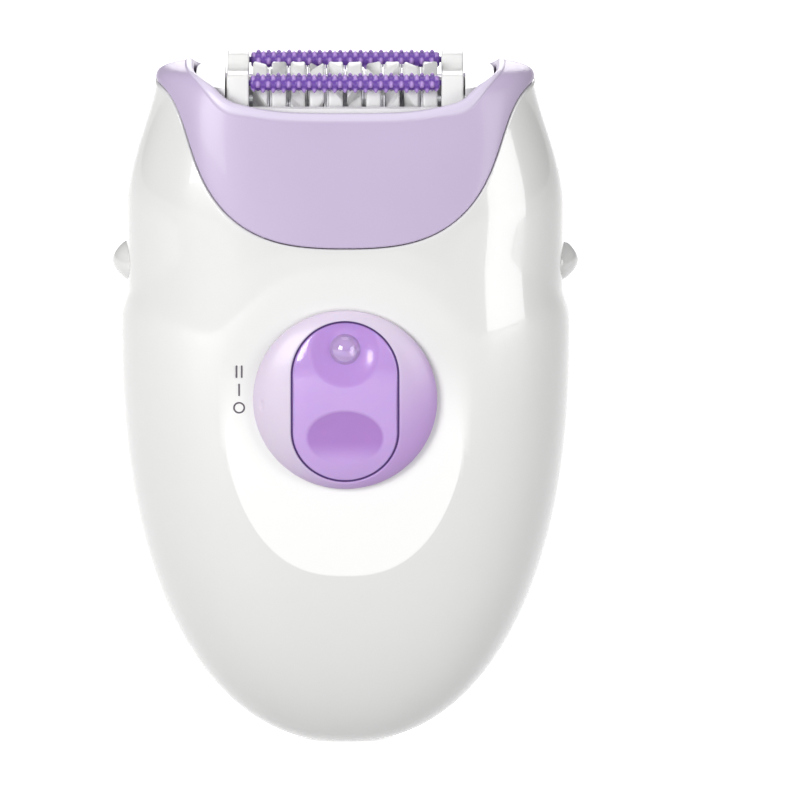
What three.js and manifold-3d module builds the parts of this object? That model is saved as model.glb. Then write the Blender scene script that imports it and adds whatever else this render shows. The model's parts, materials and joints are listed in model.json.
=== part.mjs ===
// A mains-powered epilator, in millimetres. +Z runs up the handle from the power inlet to the head, the
// front with the thumb switch faces -Y, and +X is on the right of somebody who looks at the front.
// Everything is laid out about the long axis of the handle. The finished group is then moved back, so
// that the origin is in the middle of the whole part, level with the flat face of the power inlet.
import * as THREE from "three";
import { mergeVertices } from "three/addons/utils/BufferGeometryUtils.js";
import Module from "manifold-3d";

const wasm = await Module();
wasm.setup();

// ---- Driving dimensions ----------------------------------------------------------------------------
const GAP = 0.3; // air left between pieces that only touch
const WALL = 2.0; // housing wall at its thickest
const TURN = 2 * Math.PI;

// Handle: an egg in front view, softly squared in plan.
const HANDLE = {
  bottom: -0.7, // tip of the egg, under the flat of the inlet
  widest: 37.2, // half width
  widestAt: 70, // height of the widest place
  gripStep: 1.15, // the sides draw in by this much round the release buttons
  shoulderDrop: 5.2, // further narrowing from the buttons up to the shoulders
  front: 20.9, // half depth in front
  rear: 18.6, // half depth behind
  deepestAt: 62, // height of the deepest place
  squareness: 2.5,
};
const FACET_Y = -18.9; // flat track on the front that the thumb switch slides over
const AXIS_Y = 2.4; // the long axis lies this far behind the middle, as the switch stands proud in front

// Head: the collar's lower edge is a bib, low at front and rear and high at the sides.
const BIB = { low: 87.6, rise: 24.4, sharpness: 1.8, weight: 2.8 };
const LIP = { halfX: 24.9, halfY: 13.6, side: 115.1, dip: 5.4, squareness: 4, thickness: 1.5 };
const LIP_BEND = { front: 3, rear: 0.9 }; // the lip stays high beside the head for longer in front
const FRAME = { halfX: 24.5, halfY: 11.6, bottom: 98.0, top: 112.8, front: 109.7, opening: 19.7 };
const LEG = { inner: 27.0, outer: 28.4, halfY: 4, bottom: 85.5, flange: 100.2 };

// Barrel of tweezers, and the two massage rollers beside it.
const BARREL = { z: 107.5, radius: 7.1, hub: 4.9, pitch: 3.1, discs: 10, discWidth: 2.0, axle: 1.5 };
const MASSAGE = { y: 7.9, z: 113.2, core: 1.25, tip: 1.75, halfLength: 15.5, pitch: 1.68, trunnion: 0.5 };
const BRACKET = { inner: 15.8, outer: 19.4, halfY: 9.2, bottom: 99.8, top: 114.7, saddle: 112.6 };

// Gear train, all on axes along X in the plane Y = 0.
const MODULE = 0.6;
const TEETH = { motor: 9, wheel: 38, pinion: 11, idler: 31, barrel: 12 };
const BACKLASH = 0.86; // share of the ideal tooth width that is left
const IDLER_Z = BARREL.z - (MODULE * (TEETH.barrel + TEETH.idler)) / 2;
const WHEEL_Z = IDLER_Z - (MODULE * (TEETH.idler + TEETH.pinion)) / 2;
const MOTOR_Z = WHEEL_Z - (MODULE * (TEETH.wheel + TEETH.motor)) / 2;
const WHEEL_X = [16.2, 18.8]; // plane of the motor pinion and the large wheel
const IDLER_X = [19.8, 22.2]; // plane of the small pinion, the idler and the barrel's gear
const AXLE = 0.9;
const MOTOR = { left: -16, right: 13.4, radius: 9.8, capLeft: -19.2, capRadius: 8.6 };
const PLATE_X = [13.9, 15.5];
const COVER_X = [22.8, 23.6];

// Thumb switch, drawn in its off position; it slides up by travel.
const SWITCH = { z: 62.6, radius: 15.1, back: -19.2, rim: -20.1, crown: 3.5, travel: 6.2 };
const WINDOW = { radius: 8.9, halfHeight: 13.65, sink: 0.25, gap: 0.3, floor: -20.4 };
const LAMP = { z: 71.4, radius: 2.4, tip: -23.2 };
const POST = { halfX: 2.6, low: 59.6, high: 65.6 };

// Release buttons in the sides of the handle.
const RELEASE = { z: 81.2, tip: 38.4, radii: [3.4, 4.8, 3.5], flange: [31.2, 32.4] }; // it is pressed in by 1.7
const CATCH = { tip: 25.6, low: 82.6, high: 87.4 };
const SPRING = { z: 79.2, radius: 1.7, wire: 0.3, turns: 5, from: 26.6, to: 30.6 };

// Electrics.
const BOARD = { left: -17, right: 12.4, back: -11.0, front: -12.2, bottom: 44, top: 84 };
const INLET = { halfX: 6.2, halfY: 3.6, recessX: 5.2, recessY: 2.6, depth: 8.2, height: 11 };
const PIN = { x: 3.1, radius: 0.6, bottom: 1.2, top: 14 };
const SCREW = { x: 15, z: 26, head: 2.4, shank: 1.2, headFrom: 11.3, headTo: 12.9, tip: -3.6 };

// ---- Materials -------------------------------------------------------------------------------------
const finish = (color, roughness, metalness = 0) =>
  new THREE.MeshStandardMaterial({ color, roughness, metalness });
const WHITE = finish(0xf2f1ee, 0.25);
const LILAC = finish(0xc9b6dc, 0.35);
const VIOLET = finish(0xb07fd4, 0.15);
const PURPLE = finish(0x7a4fae, 0.4);
const CLEAR = finish(0xd9c9e8, 0.05);
const GEAR_WHITE = finish(0xe8e6df, 0.5);
const GREY = finish(0xb9bab8, 0.5);
const BLACK = finish(0x1f1f22, 0.5);
const RED = finish(0xb3322c, 0.5);
const GREEN = finish(0x2f6b45, 0.6);
const STEEL = finish(0xc4c6c8, 0.3, 1);
const BRASS = finish(0xc9a45c, 0.35, 1);

// ---- Solid helpers ---------------------------------------------------------------------------------
/** A manifold solid from a closed three.js geometry. */
function solid(geometry) {
  const bare = geometry.index ? geometry.toNonIndexed() : geometry.clone();
  bare.deleteAttribute("normal");
  bare.deleteAttribute("uv");
  const merged = mergeVertices(bare, 1e-4);
  return closed(merged.attributes.position.array, new Uint32Array(merged.index.array));
}

/** A manifold solid from vertices and triangles, turned the right way out. */
function closed(vertProperties, triVerts) {
  const made = new wasm.Manifold(new wasm.Mesh({ numProp: 3, vertProperties, triVerts }));
  if (made.volume() > 0) return made;
  for (let i = 0; i < triVerts.length; i += 3) {
    [triVerts[i + 1], triVerts[i + 2]] = [triVerts[i + 2], triVerts[i + 1]];
  }
  return new wasm.Manifold(new wasm.Mesh({ numProp: 3, vertProperties, triVerts }));
}

/** A three.js geometry from a manifold solid. */
function geometryOf(made) {
  const mesh = made.getMesh();
  const geometry = new THREE.BufferGeometry();
  geometry.setAttribute("position", new THREE.BufferAttribute(mesh.vertProperties, 3));
  geometry.setIndex(new THREE.BufferAttribute(mesh.triVerts, 1));
  geometry.computeVertexNormals();
  return geometry;
}

/** A named mesh of a solid, in a material, placed at a point. */
function piece(name, made, material, at = [0, 0, 0]) {
  const mesh = new THREE.Mesh(geometryOf(made), material);
  mesh.name = name;
  mesh.position.set(...at);
  return mesh;
}

/** A box between two limits on each axis. */
function box([x0, x1], [y0, y1], [z0, z1]) {
  const geometry = new THREE.BoxGeometry(x1 - x0, y1 - y0, z1 - z0);
  return solid(geometry.translate((x0 + x1) / 2, (y0 + y1) / 2, (z0 + z1) / 2));
}

/** A round rod along one axis ("x", "y" or "z") between two limits, centred on the other two axes. */
function rod(axis, radius, [from, to], centre = [0, 0], sides = 20) {
  const geometry = new THREE.CylinderGeometry(radius, radius, to - from, sides);
  const middle = (from + to) / 2;
  if (axis === "x") return solid(geometry.rotateZ(-Math.PI / 2).translate(middle, ...centre));
  if (axis === "y") return solid(geometry.translate(centre[0], middle, centre[1]));
  return solid(geometry.rotateX(Math.PI / 2).translate(...centre, middle));
}

const X = new THREE.Vector3(1, 0, 0);
const Y = new THREE.Vector3(0, 1, 0);
const Z = new THREE.Vector3(0, 0, 1);
const ALONG_X = new THREE.Matrix4().makeBasis(Y, Z, X); // an outline in (Y, Z), extruded along +X
const ALONG_Y = new THREE.Matrix4().makeBasis(X, Z, Y.clone().negate()); // one in (X, Z), along -Y

/** An outline extruded by depth from the start, in the frame that a basis matrix gives. */
function prism(shape, depth, basis, start = 0, curveSegments = 8) {
  const geometry = new THREE.ExtrudeGeometry(shape, { depth, bevelEnabled: false, curveSegments });
  return solid(geometry.translate(0, 0, start).applyMatrix4(basis));
}

/** An outline along Z between two heights. */
const upright = (shape, [from, to], segments = 8) =>
  prism(shape, to - from, new THREE.Matrix4(), from, segments);

/** A slot outline with round ends: half length along the first axis, half width along the second. */
function slotShape(halfLength, halfWidth, centreX = 0, centreY = 0) {
  const shape = new THREE.Shape();
  const straight = halfLength - halfWidth;
  shape.absarc(centreX + straight, centreY, halfWidth, -Math.PI / 2, Math.PI / 2);
  shape.absarc(centreX - straight, centreY, halfWidth, Math.PI / 2, (3 * Math.PI) / 2);
  return shape;
}

/** The same, with its long axis along the second axis. */
function tallSlotShape(halfWidth, halfLength, centreY) {
  const shape = new THREE.Shape();
  const straight = halfLength - halfWidth;
  shape.absarc(0, centreY + straight, halfWidth, 0, Math.PI);
  shape.absarc(0, centreY - straight, halfWidth, Math.PI, TURN);
  return shape;
}

/** A closed outline through points. */
const outline = (points) => new THREE.Shape(points.map(([a, b]) => new THREE.Vector2(a, b)));

/** A closed solid through loops of points of one length; its two ends are fans to a pole. */
function loft(loops, firstPole, lastPole) {
  const count = loops[0].length;
  const points = [...loops.flat(), firstPole, lastPole];
  const triangles = [];
  const end = loops.length - 1;
  for (let i = 0; i < count; i += 1) {
    const next = (i + 1) % count;
    triangles.push(next, i, points.length - 2);
    triangles.push(end * count + i, end * count + next, points.length - 1);
    for (let row = 0; row < end; row += 1) {
      const [a, b] = [row * count + i, row * count + next];
      triangles.push(a, b, b + count, a, b + count, a + count);
    }
  }
  return closed(new Float32Array(points.flat()), new Uint32Array(triangles));
}

/** A closed ring through closed profiles that follow each other round. */
function ringOf(profiles) {
  const count = profiles[0].length;
  const triangles = [];
  profiles.forEach((profile, i) => {
    const next = ((i + 1) % profiles.length) * count;
    profile.forEach((_, j) => {
      const k = (j + 1) % count;
      triangles.push(i * count + j, next + j, next + k, i * count + j, next + k, i * count + k);
    });
  });
  return closed(new Float32Array(profiles.flat(2)), new Uint32Array(triangles));
}

/** A round wire of one radius along a curve. */
function wire(curve, radius, steps, sides = 6) {
  const section = new THREE.Shape();
  for (let i = 0; i < sides; i += 1) {
    const [a, b] = [radius * Math.cos((i * TURN) / sides), radius * Math.sin((i * TURN) / sides)];
    if (i === 0) section.moveTo(a, b);
    else section.lineTo(a, b);
  }
  section.closePath();
  return solid(new THREE.ExtrudeGeometry(section, { steps, extrudePath: curve }));
}

// ---- Outer form of the handle ----------------------------------------------------------------------
const clamp = (value) => Math.min(1, Math.max(0, value));
const signedPower = (value, exponent) => Math.sign(value) * Math.abs(value) ** exponent;

/** 0 below a, 1 above b, and a smooth rise between. */
function rise(a, b, value) {
  const t = clamp((value - a) / (b - a));
  return t * t * (3 - 2 * t);
}

/** How far the handle's egg has opened at a height below its middle: 0 at the tip, 1 at the middle. */
function opened(z, middle, sharp, blunt) {
  const share = clamp((middle - z) / (middle - HANDLE.bottom));
  return (1 - share ** sharp) ** (1 / blunt);
}

/** A drop that starts gently and then falls at a constant slope: depth lost above the deepest place. */
const tapered = (height, amount, reach) => amount * (Math.sqrt(1 + (height / reach) ** 2) - 1);

function halfWidth(z) {
  if (z < HANDLE.widestAt) return HANDLE.widest * opened(z, HANDLE.widestAt, 2.3, 2.2);
  const grip = HANDLE.gripStep * rise(73, 77.5, z);
  return HANDLE.widest - grip - HANDLE.shoulderDrop * rise(91, 115.5, z);
}

function halfFront(z) {
  if (z < HANDLE.deepestAt) return HANDLE.front * opened(z, HANDLE.deepestAt, 2, 2.5);
  return HANDLE.front - tapered(z - HANDLE.deepestAt, 1.9, 12);
}

function halfRear(z) {
  if (z < HANDLE.deepestAt) return HANDLE.rear * opened(z, HANDLE.deepestAt, 2, 2.4);
  return HANDLE.rear - tapered(z - HANDLE.deepestAt, 1.8, 14);
}

/** A point of a squared oval: angle 0 on +X and a quarter turn on +Y. */
function oval(angle, halfX, front, rear, squareness) {
  const side = Math.sin(angle) < 0 ? front : rear;
  const exponent = 2 / squareness;
  return [
    halfX * signedPower(Math.cos(angle), exponent),
    side * signedPower(Math.sin(angle), exponent),
  ];
}

/** A point of the handle's outside at a height. */
const skin = (angle, z) => [
  ...oval(angle, halfWidth(z), halfFront(z), halfRear(z), HANDLE.squareness),
  z,
];

/** A point of the handle's inside: the outside drawn in, with its tip raised by the wall. */
function lining(angle, z) {
  const depth = HANDLE.deepestAt - HANDLE.bottom;
  const below = HANDLE.deepestAt - z;
  const level = below > 0 ? HANDLE.deepestAt - (below * depth) / (depth - WALL - 0.2) : z;
  const [x, y] = skin(angle, level);
  return [x * (1 - WALL / HANDLE.widest), y * (1 - WALL / HANDLE.front), z];
}

/** Height of the bib's edge, where the collar meets the handle: low in front and behind, high beside. */
function bibEdge(angle) {
  const across = Math.abs(Math.cos(angle));
  const up = across ** BIB.sharpness;
  const down = BIB.weight * (1 - across) ** BIB.sharpness;
  return BIB.low + (BIB.rise * up) / (up + down);
}

const ROUND_STEPS = 48;
const RIM = { width: 2.6, bevel: 0.7 }; // the housing's top edge falls a little inwards, under the collar
const ROUND_ANGLES = Array.from({ length: ROUND_STEPS }, (_, i) => (i * TURN) / ROUND_STEPS);

/** A loop of points drawn in, square to its own outline in plan, and lowered by the rim's bevel. */
function drawnIn(loop) {
  return loop.map(([x, y, z], i) => {
    const [[ax, ay], [bx, by]] = [loop.at(i - 1), loop[(i + 1) % loop.length]];
    const step = RIM.width / Math.hypot(bx - ax, by - ay);
    return [x - (by - ay) * step, y + (bx - ax) * step, z - RIM.bevel];
  });
}

/** The space inside a skin function, from its tip up to a height that depends on the angle. */
function egg(point, tip, topOf, rows, polar) {
  const loops = [];
  for (let row = 1; row <= rows; row += 1) {
    const share = (row / rows) ** 1.6;
    loops.push(ROUND_ANGLES.map((angle) => point(angle, tip + (topOf(angle) - tip) * share)));
  }
  loops.push(drawnIn(loops.at(-1)));
  return loft(loops, [0, 0, tip], polar);
}

/** Everything in front of the switch's flat track, which the housing may not reach. */
const inFrontOf = (y) => box([-60, 60], [-60, y], [-10, 140]);

/** The whole housing as one hollow shell, before it is parted. */
function housing() {
  const outside = egg(skin, HANDLE.bottom, (angle) => bibEdge(angle) - GAP, 14, [0, 0, 84]);
  const cavityTip = HANDLE.bottom + WALL + 0.2;
  const inside = egg(lining, cavityTip, (angle) => bibEdge(angle) + 6, 8, [0, 0, 130]);
  const cavity = inside.subtract(inFrontOf(FACET_Y + WALL));
  const below = box([-60, 60], [-60, 60], [-10, 0.1]);
  const inletHole = upright(slotShape(INLET.halfX + GAP, INLET.halfY + GAP), [-2, 13]);
  const tools = [inFrontOf(FACET_Y), cavity, below, inletHole];
  return tools.reduce((shell, tool) => shell.subtract(tool), outside);
}

/** The window that a release button comes out of: +1 is the right side and -1 the left. */
function releaseWindow(side) {
  const [, y, z] = RELEASE.radii;
  const geometry = new THREE.CylinderGeometry(1, 1, 12, 24);
  geometry.rotateZ(Math.PI / 2).scale(1, y + GAP, z + GAP);
  return solid(geometry.translate(side * 36, 0, RELEASE.z));
}

// ---- Housing shells --------------------------------------------------------------------------------
const HALF_GAP = 0.08; // the fine line between the two shells

/** Screw boss along Y: a post between two limits with a hole up its middle. */
function boss(x, z, radius, [from, to], hole, [holeFrom, holeTo]) {
  const post = rod("y", radius, [from, to], [x, z], 18);
  return { post, hole: rod("y", hole, [holeFrom, holeTo], [x, z], 16) };
}

function frontShell(whole) {
  let shell = whole.intersect(box([-60, 60], [-60, -HALF_GAP], [-10, 140]));
  shell = shell.subtract(releaseWindow(1)).subtract(releaseWindow(-1));
  const slotLow = POST.low - 0.4;
  const slotHigh = POST.high + SWITCH.travel + 0.4;
  shell = shell.subtract(box([-3, 3], [-25, -10], [slotLow, slotHigh]));
  for (const side of [-1, 1]) {
    const { post, hole } = boss(side * SCREW.x, SCREW.z, 3, [-15.2, 3.6], 1.5, [-4, 5]);
    shell = shell.add(post).subtract(hole);
  }
  for (const x of [BOARD.left + 3, BOARD.right - 3]) {
    shell = shell.add(rod("y", 1.6, [-17.6, BOARD.front - GAP], [x, BOARD.bottom + 3], 12));
  }
  return piece("front_shell", shell, WHITE);
}

function rearShell(whole) {
  let shell = whole.intersect(box([-60, 60], [HALF_GAP, 60], [-10, 140]));
  shell = shell.subtract(releaseWindow(1)).subtract(releaseWindow(-1));
  for (const side of [-1, 1]) {
    const { post, hole } = boss(side * SCREW.x, SCREW.z, 3.6, [4, 13.8], 1.5, [3, 12]);
    const counterbore = rod("y", 2.7, [SCREW.headFrom - 0.2, 20], [side * SCREW.x, SCREW.z], 20);
    shell = shell.add(post).subtract(hole).subtract(counterbore);
    const seat = side > 0 ? [24.5, 26.0] : [-26.0, -24.5];
    shell = shell.add(box(seat, [-3, 13.2], [SPRING.z - 2.6, SPRING.z + 2.4]));
  }
  const canSpace = rod("x", MOTOR.radius + GAP, [-30, 30], [0, MOTOR_Z], 28);
  for (const x of [-12, 6]) {
    const rib = box([x, x + 1.6], [7.5, 16.2], [MOTOR_Z - 8, MOTOR_Z + 8]).subtract(canSpace);
    shell = shell.add(rib);
  }
  return piece("rear_shell", shell, WHITE);
}

// ---- Power inlet -----------------------------------------------------------------------------------
function powerInlet() {
  const block = upright(slotShape(INLET.halfX, INLET.halfY), [0, INLET.height]);
  const flange = upright(slotShape(INLET.halfX + 1.8, INLET.halfY + 1.6), [9, INLET.height]);
  const recess = upright(slotShape(INLET.recessX, INLET.recessY), [-1, INLET.depth]);
  let made = block.add(flange).subtract(recess);
  const pieces = [];
  for (const [name, side] of [["left", -1], ["right", 1]]) {
    made = made.subtract(rod("z", PIN.radius + 0.15, [5, 20], [side * PIN.x, 0], 14));
    const shaft = rod("z", PIN.radius, [PIN.bottom, PIN.top], [side * PIN.x, 0], 14);
    pieces.push(piece(`inlet_pin_${name}`, shaft, BRASS));
  }
  return [piece("power_inlet", made, GREY), ...pieces];
}

// ---- Gears -----------------------------------------------------------------------------------------
/** Gear outline in (Y, Z) about its own axis, with one tooth centred on an angle from +Y. */
function gearShape(teeth, toothAt) {
  const pitch = (MODULE * teeth) / 2;
  const root = pitch - 1.2 * MODULE;
  const tip = pitch + 0.88 * MODULE;
  const quarter = (TURN / teeth / 4) * BACKLASH;
  const points = [];
  const add = (radius, angle) => points.push([radius * Math.cos(angle), radius * Math.sin(angle)]);
  for (let i = 0; i < teeth; i += 1) {
    const middle = toothAt + (i * TURN) / teeth;
    add(root, middle - quarter * 1.4);
    add(tip, middle - quarter * 0.5);
    add(tip, middle + quarter * 0.5);
    add(root, middle + quarter * 1.4);
  }
  return outline(points);
}

/** A spur gear between two places on X, with a bore. */
function gear(teeth, toothAt, [from, to], bore) {
  const made = prism(gearShape(teeth, toothAt), to - from, ALONG_X, from);
  return made.subtract(rod("x", bore, [from - 1, to + 1], [0, 0], 16));
}

const UP = Math.PI / 2;
const DOWN = -Math.PI / 2;
/** The angle of a tooth of a gear that has a space facing down, towards the tooth that drives it. */
const spaceDown = (teeth) => DOWN + TURN / teeth / 2;

function compoundGear() {
  const wheel = gear(TEETH.wheel, spaceDown(TEETH.wheel), WHEEL_X, AXLE + 0.12);
  const pinion = gear(TEETH.pinion, UP, [WHEEL_X[1] - 0.1, IDLER_X[1] + 0.2], AXLE + 0.12);
  const hub = rod("x", 2.3, [WHEEL_X[0] - 0.4, WHEEL_X[1] + 0.8], [0, 0]);
  let made = wheel.add(hub).subtract(rod("x", AXLE + 0.12, [10, 30]));
  for (let i = 0; i < 5; i += 1) {
    const angle = (i * TURN) / 5;
    const centre = [6.4 * Math.cos(angle), 6.4 * Math.sin(angle)];
    made = made.subtract(rod("x", 2.2, [10, 30], centre, 8));
  }
  return piece("compound_gear", made.add(pinion), GEAR_WHITE, [0, 0, WHEEL_Z]);
}

function idlerGear() {
  const made = gear(TEETH.idler, spaceDown(TEETH.idler), IDLER_X, AXLE + 0.12);
  return piece("idler_gear", made, GEAR_WHITE, [0, 0, IDLER_Z]);
}

function motorRotor() {
  const shaft = rod("x", AXLE, [MOTOR.capLeft + 0.6, WHEEL_X[1] + 0.4], [0, 0], 16);
  const pinion = gear(TEETH.motor, UP, WHEEL_X, AXLE + 0.06);
  const group = new THREE.Group();
  group.position.set(0, 0, MOTOR_Z);
  group.add(piece("motor_shaft", shaft, STEEL), piece("motor_pinion", pinion, BRASS));
  return group;
}

// ---- Motor and gearbox -----------------------------------------------------------------------------
function motor() {
  const bore = rod("x", AXLE + 0.3, [-40, 40], [0, 0], 16);
  const can = rod("x", MOTOR.radius, [MOTOR.left, MOTOR.right - 0.8], [0, 0], 30);
  const nose = rod("x", 3, [MOTOR.right - 0.9, PLATE_X[1] - 0.4], [0, 0], 20);
  const [above, below] = [[9, 19], [-19, -9]].map((z) => box([-20, 20], [-20, 20], z)); // two flats on the can
  const body = can.subtract(above).subtract(below).add(nose).subtract(bore);
  let cap = rod("x", MOTOR.capRadius, [MOTOR.capLeft, MOTOR.left - GAP], [0, 0], 26);
  cap = cap.add(rod("x", 3, [MOTOR.capLeft - 0.8, MOTOR.capLeft + 0.2], [0, 0], 18)).subtract(bore);
  for (const y of [-4.5, 4.5]) {
    cap = cap.add(box([MOTOR.capLeft - 2.4, MOTOR.capLeft + 0.5], [y - 1.3, y + 1.3], [-0.3, 0.3]));
  }
  const group = new THREE.Group();
  group.position.set(0, 0, MOTOR_Z);
  group.add(piece("motor_can", body, STEEL), piece("motor_end_cap", cap, GREY));
  return group;
}

/** Side plate of the gearbox next to the motor, with two posts that carry the cover. */
function gearboxFrame() {
  const shape = outline([
    [-9, MOTOR_Z - 9], [9, MOTOR_Z - 9], [12.2, MOTOR_Z + 1.5], [12.2, MOTOR_Z + 6.5],
    [5, IDLER_Z + 2.9], [-5, IDLER_Z + 2.9], [-12.2, MOTOR_Z + 6.5], [-12.2, MOTOR_Z + 1.5],
  ]);
  let plate = prism(shape, PLATE_X[1] - PLATE_X[0], ALONG_X, PLATE_X[0]);
  plate = plate.subtract(rod("x", 3.3, [10, 20], [0, MOTOR_Z]));
  for (const y of [-10.5, 10.5]) {
    plate = plate.add(rod("x", 1.5, [PLATE_X[1] - 0.2, COVER_X[0] - GAP], [y, MOTOR_Z + 4], 14));
  }
  plate = plate.subtract(rod("x", AXLE + 0.1, [10, 20], [0, WHEEL_Z], 16));
  return piece("gearbox_frame", plate, GREY);
}

function gearboxCover() {
  const shape = outline([
    [-12, MOTOR_Z + 2.4], [12, MOTOR_Z + 2.4], [12, MOTOR_Z + 5.6], [4.5, WHEEL_Z + 3],
    [4.5, IDLER_Z + 2.6], [-4.5, IDLER_Z + 2.6], [-4.5, WHEEL_Z + 3], [-12, MOTOR_Z + 5.6],
  ]);
  let plate = prism(shape, COVER_X[1] - COVER_X[0], ALONG_X, COVER_X[0]);
  for (const z of [WHEEL_Z, IDLER_Z]) {
    plate = plate.subtract(rod("x", AXLE + 0.1, [20, 30], [0, z], 16));
  }
  return piece("gearbox_cover", plate, GREY);
}

/** The wheel's axle goes from plate to cover. The idler's is a stub in the cover, clear of the wheel's teeth. */
function gearAxles() {
  const axle = (name, from, z) =>
    piece(name, rod("x", AXLE, [from, COVER_X[1]], [0, 0], 16), STEEL, [0, 0, z]);
  return [
    axle("compound_gear_axle", PLATE_X[0] + 0.2, WHEEL_Z),
    axle("idler_gear_axle", WHEEL_X[1] + 0.4, IDLER_Z),
  ];
}

// ---- Circuit board and wiring ----------------------------------------------------------------------
function electrics() {
  const board = box([BOARD.left, BOARD.right], [BOARD.front, BOARD.back], [BOARD.bottom, BOARD.top]);
  const bodyFront = BOARD.front - 2.8;
  let block = box([-4.2, 4.2], [bodyFront, BOARD.front - GAP], [54, 74]);
  block = block.subtract(box([-1.3, 1.3], [bodyFront - 1, bodyFront + 1.7], [61.1, 70.4]));
  const can = rod("z", 3.6, [45.5, 54.5], [-8, BOARD.back + GAP + 3.6], 20);
  return [
    piece("circuit_board", board, GREEN),
    piece("slide_switch_body", block, STEEL),
    piece("capacitor", can, BLACK),
  ];
}

/** Wires as smooth curves through a few points each. */
function wiring() {
  const solder = BOARD.back + 0.9;
  const routes = [
    ["supply_wire_left", BLACK, [
      [-PIN.x, 0, 14.6], [-3.6, -0.6, 21], [-2.6, -4.5, 31], [-1, -8.6, 40], [-1, solder, 46.5],
    ]],
    ["supply_wire_right", RED, [
      [PIN.x, 0, 14.6], [3.6, -0.6, 21], [4.2, -4.5, 31], [4.5, -8.6, 40], [4.5, solder, 46.5],
    ]],
    ["motor_lead_front", BLACK, [
      [-22.3, -4.5, MOTOR_Z], [-23.2, -7, 64.5], [-20.5, -9.4, 60], [-15.5, solder, 58],
    ]],
    ["motor_lead_rear", RED, [
      [-22.3, 4.5, MOTOR_Z], [-24, 1.5, 61], [-22.5, -5, 54.5], [-19, -9, 51.5], [-15.5, solder, 50.5],
    ]],
  ];
  return routes.map(([name, material, points]) => {
    const curve = new THREE.CatmullRomCurve3(points.map((p) => new THREE.Vector3(...p)));
    return piece(name, wire(curve, 0.55, 10), material);
  });
}

// ---- Screws ----------------------------------------------------------------------------------------
function shellScrews() {
  return [["shell_screw_left", -1], ["shell_screw_right", 1]].map(([name, side]) => {
    const head = rod("y", SCREW.head, [SCREW.headFrom, SCREW.headTo], [0, 0], 20);
    const shank = rod("y", SCREW.shank, [SCREW.tip, SCREW.headFrom + 0.2], [0, 0], 14);
    const flat = box([-0.3, 0.3], [SCREW.headTo - 0.9, SCREW.headTo + 1], [-1.5, 1.5]);
    const cross = box([-1.5, 1.5], [SCREW.headTo - 0.9, SCREW.headTo + 1], [-0.3, 0.3]);
    const made = head.add(shank).subtract(flat).subtract(cross);
    return piece(name, made, STEEL, [side * SCREW.x, 0, SCREW.z]);
  });
}

// ---- Release buttons and their springs -------------------------------------------------------------
function releaseButton(name, side) {
  const [rx, ry, rz] = RELEASE.radii;
  const cap = new THREE.SphereGeometry(1, 14, 8).scale(rx, ry, rz);
  const dome = solid(cap.translate(RELEASE.tip - rx, 0, RELEASE.z));
  const flange = box(RELEASE.flange, [-5.6, 5.6], [RELEASE.z - 4.4, RELEASE.z + 4.1]);
  const neck = box([RELEASE.flange[1] - 0.2, 34.5], [-3.6, 3.6], [RELEASE.z - 2.2, RELEASE.z + 2.2]);
  const arm = box([CATCH.tip, RELEASE.flange[0] + 0.2], [-2.2, 2.2], [CATCH.low, CATCH.low + 1.6]);
  const hook = box([CATCH.tip, CATCH.tip + 1], [-2.2, 2.2], [CATCH.low, CATCH.high]);
  const right = dome.add(flange).add(neck).add(arm).add(hook);
  return piece(name, side > 0 ? right : right.rotate([0, 0, 180]), WHITE);
}

function releaseSpring(name, side) {
  class Coil extends THREE.Curve {
    getPoint(t, target = new THREE.Vector3()) {
      const angle = t * SPRING.turns * TURN;
      const x = side * (SPRING.from + (SPRING.to - SPRING.from) * t);
      return target.set(x, SPRING.radius * Math.cos(angle), SPRING.radius * Math.sin(angle));
    }
  }
  return piece(name, wire(new Coil(), SPRING.wire, 40, 4), STEEL, [0, 0, SPRING.z]);
}

// ---- Thumb switch ----------------------------------------------------------------------------------
/** Height of the switch's crown over its rim at a distance from its middle. */
const crown = (r) => SWITCH.crown * (1 - clamp(r / SWITCH.radius) ** 2.4) ** 0.7;

/** The switch's domed disc, from its back to its crown lowered by an amount, about its own middle. */
function crownedDisc(lowered, back) {
  const profile = [new THREE.Vector2(0, -back)];
  profile.push(new THREE.Vector2(SWITCH.radius, -back));
  for (let i = 0; i <= 6; i += 1) {
    const r = SWITCH.radius * (1 - (i / 6) ** 1.6);
    profile.push(new THREE.Vector2(i === 6 ? 0 : r, -SWITCH.rim + crown(r) - lowered));
  }
  const geometry = new THREE.LatheGeometry(profile, 32);
  return solid(geometry.rotateX(Math.PI)).translate([0, 0, SWITCH.z]);
}

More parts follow.
